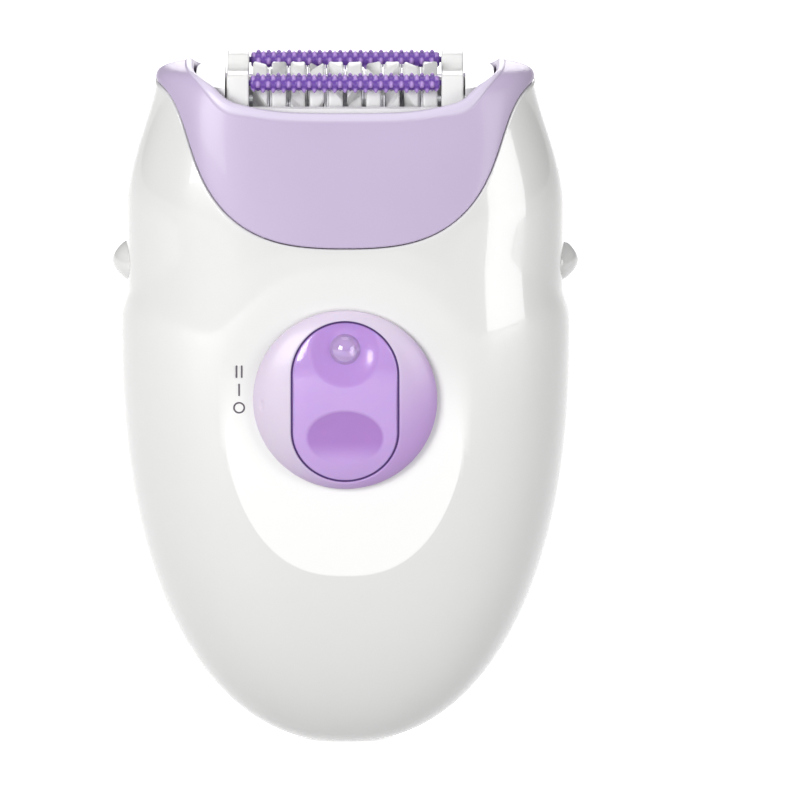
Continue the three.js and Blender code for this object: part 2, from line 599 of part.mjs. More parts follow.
function thumbSwitch() {
  const opening = tallSlotShape(WINDOW.radius, WINDOW.halfHeight, SWITCH.z);
  const pocket = prism(opening, 10, ALONG_Y, -WINDOW.floor, 12);
  const postHole = box(
    [-POST.halfX - GAP, POST.halfX + GAP], [-19.9, -19], [POST.low - GAP, POST.high + GAP],
  );
  const button = crownedDisc(0, SWITCH.back).subtract(pocket).subtract(postHole);

  const inset = tallSlotShape(WINDOW.radius - WINDOW.gap, WINDOW.halfHeight - WINDOW.gap, SWITCH.z);
  const lens = prism(inset, 10, ALONG_Y, -WINDOW.floor + GAP, 12);
  const lampHole = rod("y", LAMP.radius + GAP, [-30, -10], [0, LAMP.z], 20);
  const window = crownedDisc(WINDOW.sink, SWITCH.back).intersect(lens).subtract(lampHole);

  const bulb = new THREE.SphereGeometry(LAMP.radius, 20, 10);
  const base = LAMP.tip + LAMP.radius;
  const lampBody = rod("y", LAMP.radius, [base, WINDOW.floor - GAP], [0, LAMP.z], 20);
  const lamp = lampBody.add(solid(bulb.translate(0, base, LAMP.z)));
  const flat = box([-5, 5], [WINDOW.floor - GAP, -10], [60, 80]);

  const plate = box([-7, 7], [FACET_Y + WALL + 0.4, FACET_Y + WALL + 1.5], [56, 69.6]);
  const post = box([-POST.halfX, POST.halfX], [-19.7, FACET_Y + WALL + 0.6], [POST.low, POST.high]);
  const peg = box([-0.9, 0.9], [FACET_Y + WALL + 1.3, -13.6], [61.6, 63.6]);

  const group = new THREE.Group();
  group.add(piece("switch_button", button, LILAC), piece("light_window", window, VIOLET));
  group.add(piece("led_lamp", lamp.subtract(flat), CLEAR));
  group.add(piece("switch_carrier", plate.add(post).add(peg), GREY));
  return group;
}

// ---- Head: collar, frame and brackets --------------------------------------------------------------
/** A point of the collar's outside: share 0 on the bib's edge and 1 on the lip. */
function collarPoint(angle, share) {
  const edge = skin(angle, bibEdge(angle) + GAP / 2);
  const lip = oval(angle, LIP.halfX, LIP.halfY, LIP.halfY, LIP.squareness);
  const bend = Math.sin(angle) < 0 ? LIP_BEND.front : LIP_BEND.rear;
  const lipZ = LIP.side - LIP.dip * Math.abs(Math.sin(angle)) ** bend;
  const beside = Math.abs(Math.cos(angle)) ** 3;
  const inward = share ** (1.1 + 0.9 * beside);
  const upward = 1 - (1 - share) ** (1 + beside);
  return [
    edge[0] + (lip[0] - edge[0]) * inward,
    edge[1] + (lip[1] - edge[1]) * inward,
    edge[2] + (lipZ - edge[2]) * upward,
  ];
}

/** The same point moved inwards, square to the surface, by the collar's thickness. */
function collarLining(angle, share) {
  const step = 1e-3;
  const at = (a, s) => new THREE.Vector3(...collarPoint(a, s));
  const here = at(angle, share);
  const round = at(angle + step, share).sub(at(angle - step, share));
  const up = at(angle, Math.min(1, share + step)).sub(at(angle, Math.max(0, share - step)));
  const inward = up.cross(round).normalize();
  return here.addScaledVector(inward, LIP.thickness).toArray();
}

function headCollar() {
  const shares = [0, 0.25, 0.55, 0.82, 1];
  const profiles = ROUND_ANGLES.map((angle) => [
    ...shares.map((share) => collarPoint(angle, share)),
    ...shares.map((share) => collarLining(angle, share)).reverse(),
  ]);
  return piece("head_collar", ringOf(profiles), LILAC);
}

/** A squared oval as an outline, for upright prisms. */
const ovalShape = (halfX, halfY, squareness, count) =>
  outline(
    Array.from({ length: count }, (_, i) => oval((i * TURN) / count, halfX, halfY, halfY, squareness)),
  );

function headFrame() {
  const { halfX, halfY, bottom, top, front, opening } = FRAME;
  let made = upright(ovalShape(halfX, halfY, 4, 48), [bottom, top]);
  made = made.subtract(box([-opening, opening], [-10, 10], [bottom + 1.5, top + 1]));
  made = made.subtract(box([-opening, opening], [-20, 20], [front, top + 1]));
  for (const side of [-1, 1]) {
    const limits = (a, b) => (side > 0 ? [a, b] : [-b, -a]);
    made = made.add(box(limits(22, LEG.outer), [-LEG.halfY, LEG.halfY], [bottom, LEG.flange]));
    made = made.add(
      box(limits(LEG.inner, LEG.outer), [-LEG.halfY, LEG.halfY], [LEG.bottom, bottom + 0.5]),
    );
  }
  const idlerSpace = rod("x", 10.3, [18.9, 22.7], [0, IDLER_Z], 30);
  const gearSpace = rod("x", 4.5, [19.4, 22.7], [0, BARREL.z], 24);
  const dropSpace = box([19.4, 22.7], [-4.5, 4.5], [bottom - 1, BARREL.z]);
  made = made.subtract(idlerSpace).subtract(gearSpace).subtract(dropSpace);
  const axleSpace = rod("x", BARREL.axle + 0.3, [-19.9, 19.9], [0, BARREL.z], 20);
  return piece("head_frame", made.subtract(axleSpace), WHITE);
}

/** End bracket that carries the barrel's axle and the two massage rollers. */
function rollerBracket(name, side) {
  const { inner, outer, halfY, bottom, top, saddle } = BRACKET;
  const shape = outline([
    [-halfY, bottom], [halfY, bottom], [halfY, top], [MASSAGE.y - 2.6, top], [MASSAGE.y - 3.4, saddle],
    [-MASSAGE.y + 3.4, saddle], [-MASSAGE.y + 2.6, top], [-halfY, top],
  ]);
  const start = side > 0 ? inner : -outer;
  let made = prism(shape, outer - inner, ALONG_X, start);
  made = made.subtract(rod("x", BARREL.axle + 0.3, [-30, 30], [0, BARREL.z], 20));
  const socket = side > 0 ? [10, inner + 2.2] : [-inner - 2.2, -10];
  for (const y of [-MASSAGE.y, MASSAGE.y]) {
    made = made.subtract(rod("x", MASSAGE.trunnion + 0.15, socket, [y, MASSAGE.z], 14));
  }
  return piece(name, made, WHITE);
}

// ---- Barrel of tweezers ----------------------------------------------------------------------------
const DISC_TURN = (TURN / 3) * 0.382; // each disc is turned from its neighbour, so the tips lie on a helix

/** A plastic disc with three lobes, turned by its place in the row. */
function tweezerDisc(index) {
  const { hub, radius, discWidth, axle } = BARREL;
  const count = 24;
  const points = Array.from({ length: count }, (_, i) => {
    const angle = (i * TURN) / count;
    const lobe = rise(-0.85, -0.2, Math.cos(3 * (angle - index * DISC_TURN)));
    const r = hub + (radius - hub) * lobe;
    return [r * Math.cos(angle), r * Math.sin(angle)];
  });
  const disc = prism(outline(points), discWidth, ALONG_X, -discWidth / 2);
  return disc.subtract(rod("x", axle + 0.14, [-3, 3], [0, 0], 12));
}

const FINGER = [[2.9, -0.7], [6.8, -0.45], [6.8, 0.45], [2.9, 0.7]]; // radius and angle of its corners

/** Two thin metal plates with three gripping fingers each, on a common hub. */
function tweezerPair(index) {
  let made = rod("x", 2.6, [-0.5, 0.5], [0, 0], 10);
  for (const from of [-0.5, 0.16]) {
    const points = [];
    for (let i = 0; i < 3; i += 1) {
      const middle = (i * TURN) / 3 + (index + 0.5) * DISC_TURN;
      for (const [r, spread] of FINGER) {
        points.push([r * Math.cos(middle + spread), r * Math.sin(middle + spread)]);
      }
    }
    made = made.add(prism(outline(points), 0.34, ALONG_X, from));
  }
  return made.subtract(rod("x", BARREL.axle + 0.14, [-3, 3], [0, 0], 12));
}

function tweezerBarrel() {
  const group = new THREE.Group();
  group.position.set(0, 0, BARREL.z);
  const first = (-BARREL.pitch * (BARREL.discs - 1)) / 2;
  for (let i = 0; i < BARREL.discs; i += 1) {
    const x = first + i * BARREL.pitch;
    group.add(piece(`tweezer_disc_${i + 1}`, tweezerDisc(i), WHITE, [x, 0, 0]));
    if (i + 1 < BARREL.discs) {
      const between = [x + BARREL.pitch / 2, 0, 0];
      group.add(piece(`tweezer_pair_${i + 1}`, tweezerPair(i), STEEL, between));
    }
  }
  const axle = rod("x", BARREL.axle, [-BRACKET.outer + 0.5, IDLER_X[1] + 0.3], [0, 0], 20);
  const drive = gear(TEETH.barrel, spaceDown(TEETH.barrel), IDLER_X, BARREL.axle + 0.08);
  group.add(piece("barrel_axle", axle, STEEL), piece("barrel_gear", drive, GEAR_WHITE));
  return group;
}

/** A roller covered in low spikes: four rows round it, each half a pitch from the next. */
function massageRoller(name, y) {
  const { core, tip, halfLength, pitch, trunnion } = MASSAGE;
  const steps = 2 * Math.round((2 * halfLength) / pitch);
  const loops = [];
  for (let j = 0; j <= steps; j += 1) {
    const x = -halfLength + (2 * halfLength * j) / steps;
    loops.push(
      Array.from({ length: 8 }, (_, i) => {
        const spike = i % 2 === 0 && (j + i / 2) % 2 === 1 && j > 0 && j < steps;
        const r = spike ? tip : core;
        return [x, r * Math.cos((i * TURN) / 8), r * Math.sin((i * TURN) / 8)];
      }),
    );
  }
  const roller = loft(loops, [-halfLength, 0, 0], [halfLength, 0, 0]);
  const pin = rod("x", trunnion, [-BRACKET.inner - 1.9, BRACKET.inner + 1.9], [0, 0], 12);
  return piece(name, roller.add(pin), PURPLE, [0, y, MASSAGE.z]);
}

// ---- Assembly --------------------------------------------------------------------------------------
const epilator = new THREE.Group();
epilator.position.set(0, AXIS_Y, 0);
const whole = housing();
epilator.add(frontShell(whole), rearShell(whole), ...powerInlet());
epilator.add(motor(), gearboxFrame(), gearboxCover(), ...gearAxles());
epilator.add(...electrics(), ...wiring(), ...shellScrews());
for (const [name, side] of [["left", -1], ["right", 1]]) {
  epilator.add(releaseButton(`release_button_${name}`, side));
  epilator.add(releaseSpring(`release_spring_${name}`, side));
  epilator.add(rollerBracket(`roller_bracket_${name}`, side));
}
epilator.add(compoundGear(), idlerGear(), motorRotor(), thumbSwitch());
epilator.add(headCollar(), headFrame(), tweezerBarrel());
epilator.add(massageRoller("massage_roller_front", -MASSAGE.y));
epilator.add(massageRoller("massage_roller_rear", MASSAGE.y));

export default epilator;
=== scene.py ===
"""A mains-powered epilator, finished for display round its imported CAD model.

Shapes are worked out in millimetres about the handle's long axis: +Z runs up the handle, the thumb switch
faces -Y, and +X is on the right of somebody who looks at the front. placed() carries them into the frame, in
metres.
"""

import json
import logging
import math
from dataclasses import dataclass
from enum import Enum

import bmesh
import bpy
import numpy as np
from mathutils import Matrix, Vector


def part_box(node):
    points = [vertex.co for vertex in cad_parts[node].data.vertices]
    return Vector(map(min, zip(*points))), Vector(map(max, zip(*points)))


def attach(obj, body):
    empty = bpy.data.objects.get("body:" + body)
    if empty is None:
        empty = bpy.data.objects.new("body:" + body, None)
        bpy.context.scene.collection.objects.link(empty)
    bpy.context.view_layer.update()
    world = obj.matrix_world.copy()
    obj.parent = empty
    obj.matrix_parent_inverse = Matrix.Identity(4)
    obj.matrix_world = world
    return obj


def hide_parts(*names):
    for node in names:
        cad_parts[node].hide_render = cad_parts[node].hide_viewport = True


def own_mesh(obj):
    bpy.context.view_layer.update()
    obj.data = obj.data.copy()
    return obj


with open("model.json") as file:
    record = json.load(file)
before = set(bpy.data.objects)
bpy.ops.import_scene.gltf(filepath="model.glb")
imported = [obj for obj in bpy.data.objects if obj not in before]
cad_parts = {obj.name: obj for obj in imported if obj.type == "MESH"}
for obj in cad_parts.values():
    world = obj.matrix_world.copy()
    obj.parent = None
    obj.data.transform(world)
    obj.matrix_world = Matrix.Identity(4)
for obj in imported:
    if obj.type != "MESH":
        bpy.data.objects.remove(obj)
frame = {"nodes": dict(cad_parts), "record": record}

LOG = logging.getLogger("epilator")
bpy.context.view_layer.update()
MM = 0.001
TURN = 2 * math.pi
QUARTER = math.pi / 2
MERGE = 2e-6  # points of a new piece that are closer than this, in metres, become one
NODE_MERGE = 1e-6  # the same for a copy of a CAD node
SLIVER = 1e-7  # shorter edges, in metres, are dissolved
LARGEST_FILLET = 0.45  # share of a side that one corner's curve may take
BORE_PLAY = 0.14  # a bore's radius is this much larger than its axle's, in millimetres
AXIS_Y = sum(corner.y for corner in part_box("barrel_axle")) / 2  # the long axis in the frame, in metres
Array = np.ndarray


# ---- Number helpers --------------------------------------------------------------------------------
def smoothstep(start: float, end: float, value: Array) -> Array:
    """0 up to start, 1 from end on, and 3t^2 - 2t^3 between them."""
    t = np.clip((value - start) / (end - start), 0.0, 1.0)
    return t * t * (3.0 - 2.0 * t)


def signed_power(value: Array, exponent: float) -> Array:
    """The size of a value to a power, with the value's sign kept."""
    return np.sign(value) * np.abs(value) ** exponent


def unit(vectors: Array) -> Array:
    """Vectors along the last axis, each brought to a length of one."""
    length = np.linalg.norm(vectors, axis=-1, keepdims=True)
    return vectors / np.maximum(length, 1e-12)


def placed(points: Array) -> Array:
    """Points in millimetres about the handle's axis, in metres in the frame."""
    return np.asarray(points, float) * MM + np.array([0.0, AXIS_Y, 0.0])


def full_circle(count: int) -> Array:
    """Angles of a whole turn in equal steps, without the last one."""
    return np.linspace(0.0, TURN, count, endpoint=False)


class Axis(Enum):
    """The direction that a profile is carried along; the other two axes keep their order."""

    X = 0
    Y = 1
    Z = 2

    def points(self, along: Array, first: Array, second: Array) -> Array:
        """Points from a place along the axis and places on the other two.

        Args:
            along: place along this axis.
            first: place on the first of the other two axes.
            second: place on the second of them.

        Returns:
            An array with x, y and z on its last axis.
        """
        parts = [first, second]
        parts.insert(self.value, along)
        return np.stack(np.broadcast_arrays(*parts), axis=-1)


# ---- Surfaces and meshes ---------------------------------------------------------------------------
@dataclass
class Surface:
    """A grid of points, in rows and columns, that becomes a sheet, a tube or a closed ring of faces."""

    points: Array
    ring_rows: bool = False
    ring_columns: bool = True
    lids: tuple[int, ...] = ()
    painted_light: Array | float = 0.0  # share of a finish's colour of painted light or shade at each point

    def faces(self, start: int) -> list[list[int]]:
        """Four-sided faces between neighbours, and one flat face on each row that is a lid.

        Args:
            start: number of the grid's first point in the whole mesh.

        Returns:
            The faces as lists of point numbers.
        """
        rows, columns = self.points.shape[:2]
        index = start + np.arange(rows * columns).reshape(rows, columns)
        if self.ring_rows:
            index = np.vstack([index, index[:1]])
        if self.ring_columns:
            index = np.hstack([index, index[:, :1]])
        corners = [index[:-1, :-1], index[:-1, 1:], index[1:, 1:], index[1:, :-1]]
        quads = np.stack(corners, axis=-1).reshape(-1, 4).tolist()
        return quads + [index[lid, :columns].tolist() for lid in self.lids]


def paint_light_shares(mesh: bpy.types.Mesh, painted_light: Array) -> None:
    """Writes the share of the painted light or shade colour at each point of a mesh."""
    mesh.attributes.new("painted_light", "FLOAT", "POINT").data.foreach_set("value", painted_light.astype(np.float32))


def mesh_of(name: str, surfaces: list[Surface], crease: float = 40.0) -> bpy.types.Object:
    """A closed, outward-facing, smoothly shaded mesh object from surfaces.

    Args:
        name: name of the object.
        surfaces: grids whose shared borders are merged.
        crease: angle in degrees from which an edge is shaded sharp.

    Returns:
        The object, at the origin, with its place in its mesh.
    """
    points = np.concatenate([surface.points.reshape(-1, 3) for surface in surfaces])
    faces: list[list[int]] = []
    start = 0
    for surface in surfaces:
        faces += surface.faces(start)
        start += surface.points.shape[0] * surface.points.shape[1]
    mesh = bpy.data.meshes.new(name)
    mesh.from_pydata(placed(points).tolist(), [], faces)
    shares = [np.broadcast_to(surface.painted_light, surface.points.shape[:2]).ravel() for surface in surfaces]
    painted_light = np.concatenate(shares)
    if painted_light.any():
        paint_light_shares(mesh, painted_light)
    work = bmesh.new()
    work.from_mesh(mesh)
    bmesh.ops.remove_doubles(work, verts=work.verts, dist=MERGE)
    bmesh.ops.dissolve_degenerate(work, edges=work.edges, dist=SLIVER)
    bmesh.ops.recalc_face_normals(work, faces=work.faces)
    work.to_mesh(mesh)
    work.free()
    mesh.shade_smooth()
    mesh.set_sharp_from_angle(angle=math.radians(crease))
    made = bpy.data.objects.new(name, mesh)
    bpy.context.scene.collection.objects.link(made)
    return made


def applied(made: bpy.types.Object) -> bpy.types.Object:
    """An object with its modifiers worked into its mesh."""
    evaluated = made.evaluated_get(bpy.context.evaluated_depsgraph_get())
    mesh = bpy.data.meshes.new_from_object(evaluated)
    made.modifiers.clear()
    made.data = mesh
    return made


def carved(made: bpy.types.Object, cutters: list[Surface]) -> bpy.types.Object:
    """An object with closed surfaces cut out of it."""
    for cutter in cutters:
        tool = mesh_of("cutter", [cutter])
        cut = made.modifiers.new("cut", "BOOLEAN")
        cut.operation = "DIFFERENCE"
        cut.solver = "EXACT"
        cut.object = tool
        applied(made)
        bpy.data.objects.remove(tool)
    return made


def filleted(corners: Array, radius: float, steps: int = 5, closed: bool = True) -> Array:
    """An outline whose corners are rounded.

    Each corner gives way to the curve (1-t)^2 S + 2t(1-t) P + t^2 E, where P is the corner, and S and E lie
    on its two sides, at the radius from it or at 45% of the shorter side.

    Args:
        corners: corners of the outline, one to a row.
        radius: how far from a corner its curve starts.
        steps: points on each corner's curve.
        closed: whether the last corner joins the first. If not, the two end corners stay sharp.

    Returns:
        The points of the rounded outline.
    """
    corners = np.asarray(corners, float)
    back = np.roll(corners, 1, axis=0) - corners
    ahead = np.roll(corners, -1, axis=0) - corners
    shorter = np.minimum(np.linalg.norm(back, axis=1), np.linalg.norm(ahead, axis=1))
    reach = np.minimum(radius, LARGEST_FILLET * shorter)[:, None]
    if not closed:
        reach[[0, -1]] = 0.0
    start = corners + unit(back) * reach
    end = corners + unit(ahead) * reach
    t = np.linspace(0.0, 1.0, steps)[None, :, None]
    curve = (1 - t) ** 2 * start[:, None] + 2 * t * (1 - t) * corners[:, None] + t**2 * end[:, None]
    return curve.reshape(-1, 2)


def turned(
    profile: Array,
    axis: Axis,
    centre: tuple[float, float] = (0.0, 0.0),
    round_over: float = 0.15,
    columns: int = 40,
    ring: bool = False,
) -> Surface:
    """A turned shape: a profile of (place along the axis, radius) carried round the axis.

    Args:
        profile: corners of the profile. A radius of 0 at an end closes that end.
        axis: direction of the axis.
        centre: where the axis stands on the other two axes.
        round_over: how far each corner is rounded.
        columns: steps round the axis.
        ring: whether the profile is closed, as round a bore.

    Returns:
        The surface.
    """
    rows = filleted(np.asarray(profile, float), round_over, closed=ring)
    angle = full_circle(columns)
    along = np.repeat(rows[:, :1], columns, axis=1)
    first = centre[0] + rows[:, 1:] * np.cos(angle)
    second = centre[1] + rows[:, 1:] * np.sin(angle)
    return Surface(axis.points(along, first, second), ring_rows=ring)


def outline_normals(outline: Array) -> Array:
    """Outward directions of a closed outline that runs anticlockwise, from its neighbours' difference."""
    step = np.roll(outline, -1, axis=0) - np.roll(outline, 1, axis=0)
    return unit(np.stack([step[:, 1], -step[:, 0]], axis=-1))


def prism(
    outline: Array,
    limits: tuple[float, float],
    axis: Axis,
    edge: float = 0.25,
    bore: float = 0.0,
    centre: tuple[float, float] = (0.0, 0.0),
) -> Surface:
    """An outline carried along an axis between two limits, its two rims rolled over by a quarter circle.

    At angle b of the roll the outline is drawn in by edge (1 - sin b), and stands edge (1 - cos b) from the
    end.

    Args:
        outline: points of the outline, anticlockwise, about the centre.
        limits: the two ends along the axis.
        axis: direction of the axis.
        edge: radius of the rolled rims.
        bore: radius of a hole up the middle, or 0 for none. The outline is then star-shaped about it.
        centre: where the outline's own middle stands on the other two axes.

    Returns:
        The closed surface.
    """
    roll = np.linspace(0.0, QUARTER, 5)
    inset = edge * (1 - np.sin(roll))
    depth = edge * (1 - np.cos(roll))
    inset = np.concatenate([inset, inset[::-1]])
    along = np.concatenate([limits[0] + depth, limits[1] - depth[::-1]])
    if axis is Axis.Y:
        outline = outline[::-1]
        normals = -outline_normals(outline)
    else:
        normals = outline_normals(outline)
    rows = outline[None] - normals[None] * inset[:, None, None]
    if bore > 0:
        angle = np.arctan2(outline[:, 1], outline[:, 0])
        circle = bore * np.stack([np.cos(angle), np.sin(angle)], axis=-1)
        rows = np.concatenate([circle[None], rows, circle[None]])
        along = np.concatenate([[limits[0]], along, [limits[1]]])
    rows = rows + np.asarray(centre)
    points = axis.points(along[:, None], rows[..., 0], rows[..., 1])
    return Surface(points, ring_rows=bore > 0, lids=() if bore > 0 else (0, -1))


def block(low: tuple[float, float, float], high: tuple[float, float, float], edge: float = 0.3) -> Surface:
    """A moulded block between two corners, with rounded uprights and rolled rims."""
    outline = np.array([[low[0], low[1]], [high[0], low[1]], [high[0], high[1]], [low[0], high[1]]])
    return prism(filleted(outline, edge), (low[2], high[2]), Axis.Z, edge)


def swept(path: Array, radius: float, sides: int = 12) -> Surface:
    """A round wire along a path, with rounded ends.

    The wire's cross-section stands square to the path. Its first side axis is the path's direction crossed
    with the direction in which the path as a whole turns least.

    Args:
        path: points of the wire's middle line.
        radius: radius of the wire.
        sides: steps round the wire.

    Returns:
        The surface, drawn to a point at each end.
    """
    tangent = unit(np.gradient(path, axis=0))
    steady = np.eye(3)[np.argmin(np.abs(tangent).max(axis=0))]
    side = unit(np.cross(tangent, steady))
    other = np.cross(tangent, side)
    angle = full_circle(sides)[None, :, None]
    ring = np.cos(angle) * side[:, None] + np.sin(angle) * other[:, None]
    tube = path[:, None] + radius * ring
    roll = np.linspace(0.0, QUARTER, 4)[:, None, None]
    first = path[0] + radius * np.sin(roll) * ring[0]
    first = first - tangent[0] * radius * np.cos(roll)
    last = path[-1] + radius * np.sin(roll[::-1]) * ring[-1] + tangent[-1] * radius * np.cos(roll[::-1])
    return Surface(np.concatenate([first, tube[1:-1], last]))


def through(points: list[tuple[float, float, float]], steps: int = 14) -> Array:
    """A smooth path through points.

    Between two points it is the Catmull-Rom cubic, whose slope at a point is half the step between the
    point's neighbours.

    Args:
        points: the points it passes.
        steps: points on each stretch.

    Returns:
        The path's points.
    """
    knots = np.asarray(points, float)
    knots = np.concatenate([2 * knots[:1] - knots[1:2], knots, 2 * knots[-1:] - knots[-2:-1]])
    a, b, c, d = knots[:-3, None], knots[1:-2, None], knots[2:-1, None], knots[3:, None]
    t = np.linspace(0.0, 1.0, steps, endpoint=False)[None, :, None]
    curve = b + 0.5 * t * (c - a + t * (2 * a - 5 * b + 4 * c - d + t * (3 * (b - c) + d - a)))
    return np.concatenate([curve.reshape(-1, 3), knots[-2:-1]])


# ---- Finishes --------------------------------------------------------------------------------------
def linear(colour: tuple[float, float, float]) -> tuple[float, float, float, float]:
    """A display colour, each channel from 0 to 1, as the light it stands for."""
    value = np.asarray(colour, float)
    light = np.where(value <= 0.04045, value / 12.92, ((value + 0.055) / 1.055) ** 2.4)
    return (*light.tolist(), 1.0)


@dataclass(frozen=True)
class Finish:
    """One finish, with the fine unevenness that its surface shows."""

    slot: str
    colour: tuple[float, float, float]
    roughness: float
    metallic: float = 0.0
    coat: float = 0.0
    transmission: float = 0.0
    subsurface: float = 0.0
    drift: float = 0.03  # share by which the colour wanders
    drift_size: float = 9.0  # size of that wandering, in millimetres
    grain: float = 0.04  # spread of the roughness
    grain_size: float = 0.5
    relief: float = 0.004  # height of the surface's own texture, in millimetres
    relief_size: float = 0.9
    stretch: tuple[float, float, float] = (1.0, 1.0, 1.0)  # a machined surface is drawn out along one axis
    painted_light_colour: tuple[float, float, float] | None = None  # colour of painted light or shade, used where the piece's own point attribute for it is 1
    glow: float = 0.0  # light of its own, as a backlit studio floor has
    coat_roughness: float = 0.04
    scatter: float = 0.002  # how deep light wanders below the surface, in metres
    refraction: float = 1.49

    def material(self) -> bpy.types.Material:
        """The finish as a node material on Object coordinates, named after its slot."""
        made = bpy.data.materials.new(f"{self.slot}_finish")
        made.use_nodes = True
        nodes = made.node_tree.nodes
        links = made.node_tree.links
        shader = nodes["Principled BSDF"]
        settings = {
            "Metallic": self.metallic,
            "Coat Weight": self.coat,
            "Coat Roughness": self.coat_roughness,
            "Transmission Weight": self.transmission,
            "Subsurface Weight": self.subsurface,
            "Subsurface Scale": self.scatter,
            "IOR": self.refraction,
            "Emission Color": (1.0, 1.0, 1.0, 1.0),
            "Emission Strength": self.glow,
        }
        for socket, value in settings.items():
            shader.inputs[socket].default_value = value
        where = nodes.new("ShaderNodeTexCoord")
        mapping = nodes.new("ShaderNodeMapping")
        mapping.inputs["Scale"].default_value = self.stretch
        links.new(where.outputs["Object"], mapping.inputs["Vector"])

        def noise(size: float, detail: float) -> bpy.types.Node:
            """A noise whose patches are about a size in millimetres."""
            node = nodes.new("ShaderNodeTexNoise")
            node.inputs["Scale"].default_value = 1.0 / (size * MM)
            node.inputs["Detail"].default_value = detail
            links.new(mapping.outputs["Vector"], node.inputs["Vector"])
            return node

        wander = noise(self.drift_size, 3.0)
        blend = nodes.new("ShaderNodeMix")
        blend.data_type = "RGBA"
        base = np.asarray(linear(self.colour))
        blend.inputs["A"].default_value = (*(base[:3] * (1 - self.drift)), 1.0)
        blend.inputs["B"].default_value = (*np.clip(base[:3] * (1 + self.drift), 0, 1), 1.0)
        links.new(wander.outputs["Fac"], blend.inputs["Factor"])
        colour = blend.outputs["Result"]
        # Painted light and shade: a point attribute mixes the finish's colour of painted light or shade into
        # the base colour.
        if self.painted_light_colour is not None:
            painted_light = nodes.new("ShaderNodeAttribute")
            painted_light.attribute_name = "painted_light"
            deepen = nodes.new("ShaderNodeMix")
            deepen.data_type = "RGBA"
            deepen.inputs["B"].default_value = linear(self.painted_light_colour)
            links.new(colour, deepen.inputs["A"])
            links.new(painted_light.outputs["Fac"], deepen.inputs["Factor"])
            colour = deepen.outputs["Result"]
        links.new(colour, shader.inputs["Base Color"])
        grain = noise(self.grain_size, 2.0)
        spread = nodes.new("ShaderNodeMapRange")
        spread.inputs["To Min"].default_value = max(0.0, self.roughness - self.grain)
        spread.inputs["To Max"].default_value = self.roughness + self.grain
        links.new(grain.outputs["Fac"], spread.inputs["Value"])
        links.new(spread.outputs["Result"], shader.inputs["Roughness"])
        texture = noise(self.relief_size, 2.0)
        bump = nodes.new("ShaderNodeBump")
        bump.inputs["Strength"].default_value = 1.0
        bump.inputs["Distance"].default_value = self.relief * MM
        links.new(texture.outputs["Fac"], bump.inputs["Height"])
        links.new(bump.outputs["Normal"], shader.inputs["Normal"])
        return made


FINISHES = {
    finish.slot: finish
    for finish in (
        # Painted highlight: the brighter second colour goes on the flat track under the switch.
        Finish(
            "white_housing", (0.905, 0.905, 0.90), 0.22, coat=1.0, drift=0.012, relief=0.0025,
            relief_size=2.2, painted_light_colour=(0.985, 0.985, 0.98),
        ),
        # Painted highlight: the lighter second colour goes on the collar's lip band.
        Finish(
            "lilac", (0.77, 0.71, 0.83), 0.36, coat=0.1, drift=0.02, relief=0.002, painted_light_colour=(0.86, 0.82, 0.91),
        ),
        # Painted shade: the deeper second colour goes in the thumb rest and the bowl round the lamp.
        Finish(
            "violet_window", (0.78, 0.63, 0.90), 0.10, coat=0.6, subsurface=0.25, drift=0.03, relief=0.0015,
            relief_size=3.0, painted_light_colour=(0.65, 0.42, 0.78),
        ),
        Finish(
            "clear_lamp", (0.95, 0.90, 0.98), 0.03, coat=0.6, transmission=0.75, drift=0.01, grain=0.01,
            relief=0.001,
        ),
        # Painted shade: the darker second colour goes in the valleys between the spikes and on the ends.
        Finish(
            "purple_roller", (0.72, 0.58, 0.86), 0.28, coat=0.2, drift=0.06, drift_size=3.0, relief=0.003,
            painted_light_colour=(0.42, 0.27, 0.64),
        ),
        Finish("white_head", (0.93, 0.93, 0.925), 0.32, drift=0.015, relief=0.004, relief_size=0.6),
        Finish("gear_white", (0.90, 0.89, 0.85), 0.42, drift=0.04, relief=0.006, relief_size=0.5),
        Finish("grey_plastic", (0.62, 0.62, 0.61), 0.48, drift=0.05, relief=0.010, relief_size=0.35),
        Finish("black_plastic", (0.10, 0.10, 0.11), 0.42, drift=0.10, relief=0.006, relief_size=0.4),
        Finish("red_wire", (0.66, 0.13, 0.10), 0.38, drift=0.08, relief=0.006, relief_size=0.6),
        Finish("green_board", (0.10, 0.36, 0.21), 0.35, coat=0.4, drift=0.12, drift_size=2.0, relief=0.012),
        Finish(
            "steel", (0.76, 0.77, 0.78), 0.30, metallic=1.0, drift=0.05, drift_size=1.5, grain=0.10,
            relief=0.002, relief_size=0.7, stretch=(1.0, 6.0, 6.0),
        ),
        Finish(
            "brass", (0.83, 0.69, 0.42), 0.28, metallic=1.0, drift=0.06, drift_size=1.5, grain=0.08,
            relief=0.002, relief_size=0.7, stretch=(6.0, 6.0, 1.0),
        ),
    )
}
SATIN = Finish("steel", (0.90, 0.90, 0.91), 0.36, metallic=0.2, drift=0.03, drift_size=1.5, relief=0.002)
# Painted shade: the deeper second colour darkens the disc towards its lower right.
DISC = Finish(
    "lilac", (0.87, 0.82, 0.90), 0.36, coat=0.1, subsurface=0.1, drift=0.02, relief=0.002,
    painted_light_colour=(0.75, 0.60, 0.85),
)
# Painted shade: the dark ring in the groove round the window.
GROOVE_SHADE_FINISH = Finish("violet_window", (0.25, 0.12, 0.38), 0.45, drift=0.05)
PRINT = Finish("grey_plastic", (0.36, 0.33, 0.37), 0.5, drift=0.05)
BODY_OF = {
    node: body
    for body, members in frame["record"]["behaviour"]["bodies"].items()
    for node in members
}


